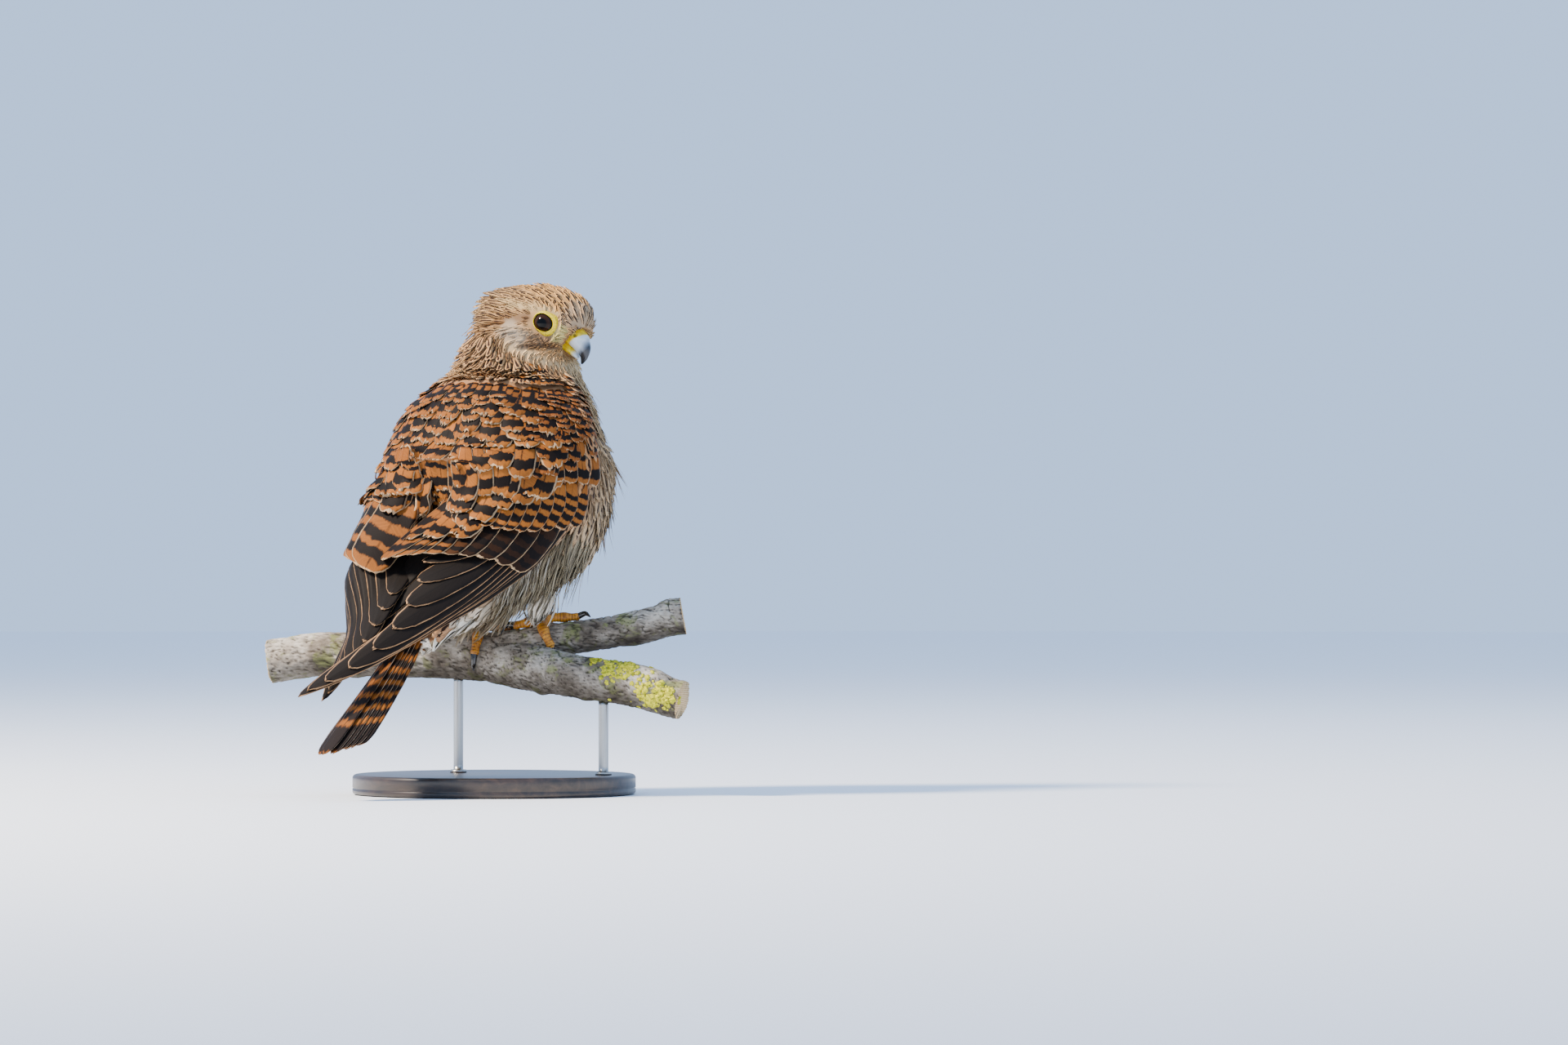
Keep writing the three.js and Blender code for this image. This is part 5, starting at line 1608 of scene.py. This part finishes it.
# %% Toes from the joints
FEET = {
    "right": {
        "at": 26, "knee": [-17, -17, 101],
        "toes": [[[26, -8, 3.4, 3.2], [24.5, -40, 3, 2.9], [26, -70, 2.8, 2.5], [28.5, -98, 2.6, 2.2]],
                 [[25, 0, 3.6, 3.2], [20, -4, 3, 2.7], [15.5, -8, 2.8, 2.5], [11, -12, 2.6, 2.2]],
                 [[26, 8, 3.6, 3.3], [27, 34, 3, 2.7], [27.5, 62, 2.8, 2.5], [28, 92, 2.6, 2.1]],
                 [[27, 0, 3.6, 3.2], [32, 8, 3, 2.6], [37, 14, 2.8, 2.4], [41.5, 18, 2.6, 2.1]]],
        "claws": [[[28.7, -101, 2.7, 1.8], [29.5, -125, 3, 1.3], [29.5, -146, 1.6, 0.25]],
                  [[9.6, -13, 2.9, 1.9], [5.8, -18, 3.6, 1.4], [3.2, -34, 1.2, 0.25]],
                  [[28.2, 96, 2.8, 1.7], [28.8, 118, 3.2, 1.3], [29, 138, 1.4, 0.25]],
                  [[42.8, 18, 2.9, 1.7], [46.2, 12, 3.4, 1.3], [48.8, 0, 1, 0.25]]],
    },
    "left": {
        "at": -6, "knee": [15, -8, 98],
        "toes": [[[-6, -8, 3.4, 3.2], [-8, -34, 3, 2.9], [-9, -58, 2.8, 2.5], [-10, -80, 2.6, 2.2]],
                 [[-5, 0, 3.6, 3.2], [-1, 14, 3, 2.7], [2.5, 24, 2.8, 2.5], [6.5, 32, 2.6, 2.2]],
                 [[-6, 8, 3.6, 3.3], [-7, 32, 3, 2.7], [-8, 56, 2.8, 2.5], [-8.5, 80, 2.6, 2.1]],
                 [[-7, 0, 3.6, 3.2], [-12, 4, 3, 2.6], [-17, 8, 2.8, 2.4], [-21.5, 10, 2.6, 2.1]]],
        "claws": [[[-10.2, -84, 2.7, 1.8], [-10.6, -104, 3.2, 1.3], [-10.8, -122, 1.2, 0.25]],
                  [[7.8, 34, 2.9, 1.8], [11, 40, 3.2, 1.3], [13.4, 50, 1.2, 0.25]],
                  [[-8.7, 84, 2.8, 1.7], [-9, 104, 3.2, 1.3], [-9.2, 122, 1.2, 0.25]],
                  [[-22.9, 10, 2.9, 1.7], [-26.2, 6, 3.4, 1.3], [-28.8, -6, 1, 0.25]]],
    },
}


def on_stem(across, degrees, lift):
    """A place on the stem: across the view, degrees round it from the top to the far side, and lift."""
    places = np.arange(0, len(STEM) - 1, 0.01)
    row = smooth(STEM, [np.interp(across, smooth(STEM, places)[:, 0], places)])[0]
    turn = np.radians(degrees)
    return on_perch(across, row[1] + (row[3] + lift) * np.sin(turn), row[2] + (row[3] + lift) * np.cos(turn))


def stem_rows(rows):
    return np.array([[*on_stem(across, degrees, lift), radius] for across, degrees, lift, radius in rows])


SCUTE = 1.55


def knuckles(t, turn):
    """A toe swells at each of its joints."""
    return 0.24 * np.cos(6 * np.pi * t)

# %% Leg skin and claw horn
# tough skin: a dull shine, darker in the grooves between the scutes
foot_paint, tree, shader = new_material("scaled orange-yellow leg skin", 0.5, Specular_IOR_Level=0.4,
                                        Subsurface_Weight=0.06, Subsurface_Scale=0.0008)
place_of = node(tree, "TexCoord").outputs["Object"]
blotch = node(tree, "TexNoise", {"Vector": place_of, "Scale": 260.0, "Detail": 4.0})
foot_tone = node(tree, "ValToRGB", {"Fac": blotch}, [(0.3, "#7a430c"), (0.52, "#b87616"), (0.75, "#d9982a")])
groove = node(tree, "Attribute", attribute_name="groove").outputs["Fac"]
foot_colour = node(tree, "Mix", {0: groove, 6: foot_tone, 7: paint("#4a2a0a")}, data_type="RGBA")
small_scales = node(tree, "TexVoronoi", {"Vector": place_of, "Scale": 1100.0})
relief = node(tree, "Bump", {"Height": small_scales, "Strength": 0.35, "Distance": 0.0002})
feed(shader, {"Base Color": foot_colour, "Normal": relief})

# black horn with a clear shine, a little paler in streaks
claw_paint, tree, shader = new_material("black polished claw horn", 0.22, IOR=1.54, Coat_Weight=0.3)
place_of = node(tree, "TexCoord").outputs["Object"]
claw_streak = node(tree, "TexNoise", {"Vector": place_of, "Scale": 500.0, "Detail": 3.0})
claw_tone = node(tree, "ValToRGB", {"Fac": claw_streak}, [(0.3, "#0b0a09"), (0.75, "#2b2824")])
feed(shader, {"Base Color": claw_tone})

# %% Feet with their claws
BLUNT = [(0.7, 0.85), (1.15, 0.45)]


def rounded_end(rows):
    """A toe's row with a blunt, round end added."""
    ahead = unit(rows[-1, :3] - rows[-2, :3])
    radius = rows[-1, 3]
    blunt = [[*(rows[-1, :3] + ahead * radius * far), radius * share] for far, share in BLUNT]
    return np.concatenate([rows, blunt])


def foot_piece(name):
    """A foot and its shank grown together, with a groove between every two scutes."""
    facts = FEET[name]
    sole = on_stem(facts["at"], 0, 3.6)
    knee = np.array(facts["knee"], float)
    shank = np.array([[*knee, 3.1], [*(sole + (knee - sole) * 0.45), 2.8], [*sole, 3.4]])
    pad = np.array([[*(sole + [0, 0, 2.6]), 3.4], [*sole, 4.2], [*(sole - [0, 0, 2.6]), 3.0]])
    toes = [rounded_end(stem_rows(rows)) for rows in facts["toes"]]
    forms = [tube(shank, 24, 24), tube(pad, 24, 12)] + [tube(rows, 24, 40, knuckles) for rows in toes]
    mesh = remeshed(forms, 0.5 * MM, 3)
    mesh.name = f"foot_{name}_skin"
    route, phase = [], []
    for rows in [shank] + toes:
        fine = smooth(rows, np.linspace(0, len(rows) - 1, 160))[:, :3]
        run = np.concatenate([[0], np.cumsum(np.linalg.norm(np.diff(fine, axis=0), axis=1))])
        route.append(fine * MM)
        phase.append(run / SCUTE)
    route, phase = np.concatenate(route), np.concatenate(phase)
    corners = points_of(mesh)
    nearest = np.concatenate([np.argmin(np.linalg.norm(some[:, None] - route[None], axis=2), axis=1)
                              for some in np.array_split(corners, 20)])
    groove = eased(0.45, 0.05, np.abs(np.sin(np.pi * phase[nearest])))
    corners = corners - normals_of(mesh) * groove[:, None] * 0.24 * MM
    mesh.vertices.foreach_set("co", corners.ravel())
    piece = finished(mesh, foot_paint)
    marked(piece, "groove", groove)
    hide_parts(f"foot_{name}")


for name in FEET:
    foot_piece(name)
    for k, rows in enumerate(FEET[name]["claws"]):
        claw = shown(tube(stem_rows(rows), 24, 28), f"claw_{name}_{k + 1}_horn", claw_paint)
        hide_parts(f"claw_{name}_{k + 1}")

# %% [markdown]
# ## The stand
# A turned wooden disc carries two steel rods. The disc is a profile spun about its middle, with a soft
# upper edge and a small groove as a turner would leave, and the rods are brushed along their length.

# %% Turned base and rods
BASE = {"radius": 72, "height": 10, "edge": 2}
ROD_RADIUS = 2.5
RODS = [("left", -19, 19.6, 58.6), ("right", 56, -20, 47.4)]


def spun(profile, steps):
    """A closed form turned about the upright axis, from a profile of radius and height."""
    bm = bmesh.new()
    line = [bm.verts.new((radius * MM, 0, height * MM)) for radius, height in profile]
    edges = [bm.edges.new(pair) for pair in zip(line, line[1:])]
    bmesh.ops.spin(bm, geom=line + edges, axis=(0, 0, 1), cent=(0, 0, 0), steps=steps, angle=2 * np.pi,
                   use_merge=True)
    return welded(bm)


def turned_base():
    radius, height, edge = BASE["radius"], BASE["height"], BASE["edge"]
    quarter = np.linspace(0, np.pi / 2, 8)
    rim = [(radius - edge * (1 - np.cos(a)), height - edge * (1 - np.sin(a))) for a in quarter]
    return spun([(0, 0), (radius - 1.2, 0), (radius - 0.35, 0.35), (radius, 1.2), (radius, 2.6),
                 (radius - 0.5, 3.0), (radius, 3.4), *rim, (radius * 0.5, height), (0, height)], 128)

# %% Base and its wood
# stained wood under a thin varnish: dark lines of grain that run across the disc
wood_paint, tree, shader = new_material("dark stained turned wood", 0.38, IOR=1.5, Coat_Weight=0.25,
                                        Coat_Roughness=0.25)
place_of = node(tree, "TexCoord").outputs["Object"]
along_grain = node(tree, "Mapping", {"Vector": place_of, "Scale": (14.0, 210.0, 210.0)})
grain = node(tree, "TexNoise", {"Vector": along_grain, "Scale": 1.0, "Detail": 7.0, "Roughness": 0.62,
                                "Distortion": 0.6})
grain_tone = node(tree, "ValToRGB", {"Fac": grain}, [(0.3, "#17100b"), (0.5, "#2e2118"), (0.72, "#453224")])
relief = node(tree, "Bump", {"Height": grain, "Strength": 0.2, "Distance": 0.0003})
feed(shader, {"Base Color": grain_tone, "Normal": relief})
base = shown(turned_base(), "turned_base", wood_paint)
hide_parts("stand_base")

# %% Rods and their steel
# brushed metal: fine lines along the rod, which spread its highlight
steel_paint, tree, shader = new_material("brushed stainless steel rod", 0.32, Metallic=1.0)
place_of = node(tree, "TexCoord").outputs["Object"]
brushed = node(tree, "Mapping", {"Vector": place_of, "Scale": (5200.0, 5200.0, 90.0)})
lines = node(tree, "TexNoise", {"Vector": brushed, "Scale": 1.0, "Detail": 3.0})
steel_tone = node(tree, "Mix", {0: lines, 6: paint("#8f8f8d"), 7: paint("#c9c9c6")}, data_type="RGBA")
steel_rough = node(tree, "MapRange", {0: lines, 3: 0.22, 4: 0.42})
feed(shader, {"Base Color": steel_tone, "Roughness": steel_rough})


def rod_form(across, away, top):
    """A rod with a narrow collar where it enters the base."""
    x, y, _ = on_perch(across, away, 0)
    low = BASE["height"] + 0.05
    bm = spun([(0, low), (4.2, low), (4.2, low + 1.0), (3.9, low + 1.6), (ROD_RADIUS, low + 1.7),
               (ROD_RADIUS, low + 4), (ROD_RADIUS, top - 2), (ROD_RADIUS, top), (0, top)], 40)
    bmesh.ops.translate(bm, verts=bm.verts[:], vec=(x * MM, y * MM, 0))
    return bm


for name, across, away, top in RODS:
    rod = shown(rod_form(across, away, top), f"steel_rod_{name}", steel_paint)
    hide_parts(f"stand_rod_{name}")
print("stand ready")

# %% [markdown]
# ## The studio
# The model stands on a pale floor in soft light. A long lens far away gives the photograph's flat view of
# the bird, from behind its right shoulder and level with it.

# %% Camera
FRAME_WIDTH = 0.797
DISTANCE = 4.0
SENSOR = 36.0
aim = np.array([-0.11607, -0.09069, 0.1378])
towards = np.array([np.sin(VIEW), -np.cos(VIEW), 0])
lens = bpy.data.cameras.new("long_lens")
lens.sensor_width = SENSOR
lens.lens = SENSOR * DISTANCE / FRAME_WIDTH
camera = bpy.data.objects.new("camera", lens)
camera.location = aim + towards * DISTANCE
camera.rotation_euler = (np.pi / 2, 0, VIEW)
bpy.context.scene.collection.objects.link(camera)
bpy.context.scene.camera = camera
print("camera", [round(v, 3) for v in camera.location])

# %% Light and floor
def soft_light(name, azimuth, elevation, distance, size, watts, code):
    """A round lamp that faces the bird, from degrees round and up, metres away and across, and watts."""
    data = bpy.data.lights.new(name, "AREA")
    data.shape = "DISK"
    data.size = size
    data.energy = watts
    data.color = linear(code)
    light = bpy.data.objects.new(name, data)
    a, e = np.radians(azimuth), np.radians(elevation)
    way = Vector((np.sin(a) * np.cos(e), -np.cos(a) * np.cos(e), np.sin(e)))
    light.location = Vector((0, 0.02, 0.15)) + way * distance
    light.rotation_euler = way.to_track_quat("Z", "Y").to_euler()
    bpy.context.scene.collection.objects.link(light)


soft_light("key", 150, 42, 2.0, 0.4, 130, "#ffeed8")
soft_light("fill", 268, 22, 2.2, 1.6, 3, "#dbe8ff")
soft_light("back", 30, 50, 2.2, 1.2, 12, "#e6efff")

# %% Room light
world = bpy.data.worlds.new("pale_room")
world.use_nodes = True
feed(world.node_tree.nodes["Background"], {"Color": paint("#b4d3ff"), "Strength": 1.45})
bpy.context.scene.world = world

# %% Floor
floor_paint, tree, shader = new_material("pale painted floor", 0.9)
place_of = node(tree, "TexCoord").outputs["Object"]
speckle = node(tree, "TexNoise", {"Vector": place_of, "Scale": 0.25, "Detail": 2.0})
floor_tone = node(tree, "Mix", {0: speckle, 6: paint("#eef4fb"), 7: paint("#f3f7fc")}, data_type="RGBA")
feed(shader, {"Base Color": floor_tone})
disc = bmesh.new()
bmesh.ops.create_circle(disc, cap_ends=True, radius=6.0, segments=96)
bmesh.ops.translate(disc, verts=disc.verts[:], vec=(0, 0, -0.0004))
floor_mesh = bpy.data.meshes.new("floor")
disc.to_mesh(floor_mesh)
disc.free()
floor_mesh.materials.append(floor_paint)
floor = bpy.data.objects.new("floor", floor_mesh)
bpy.context.scene.collection.objects.link(floor)
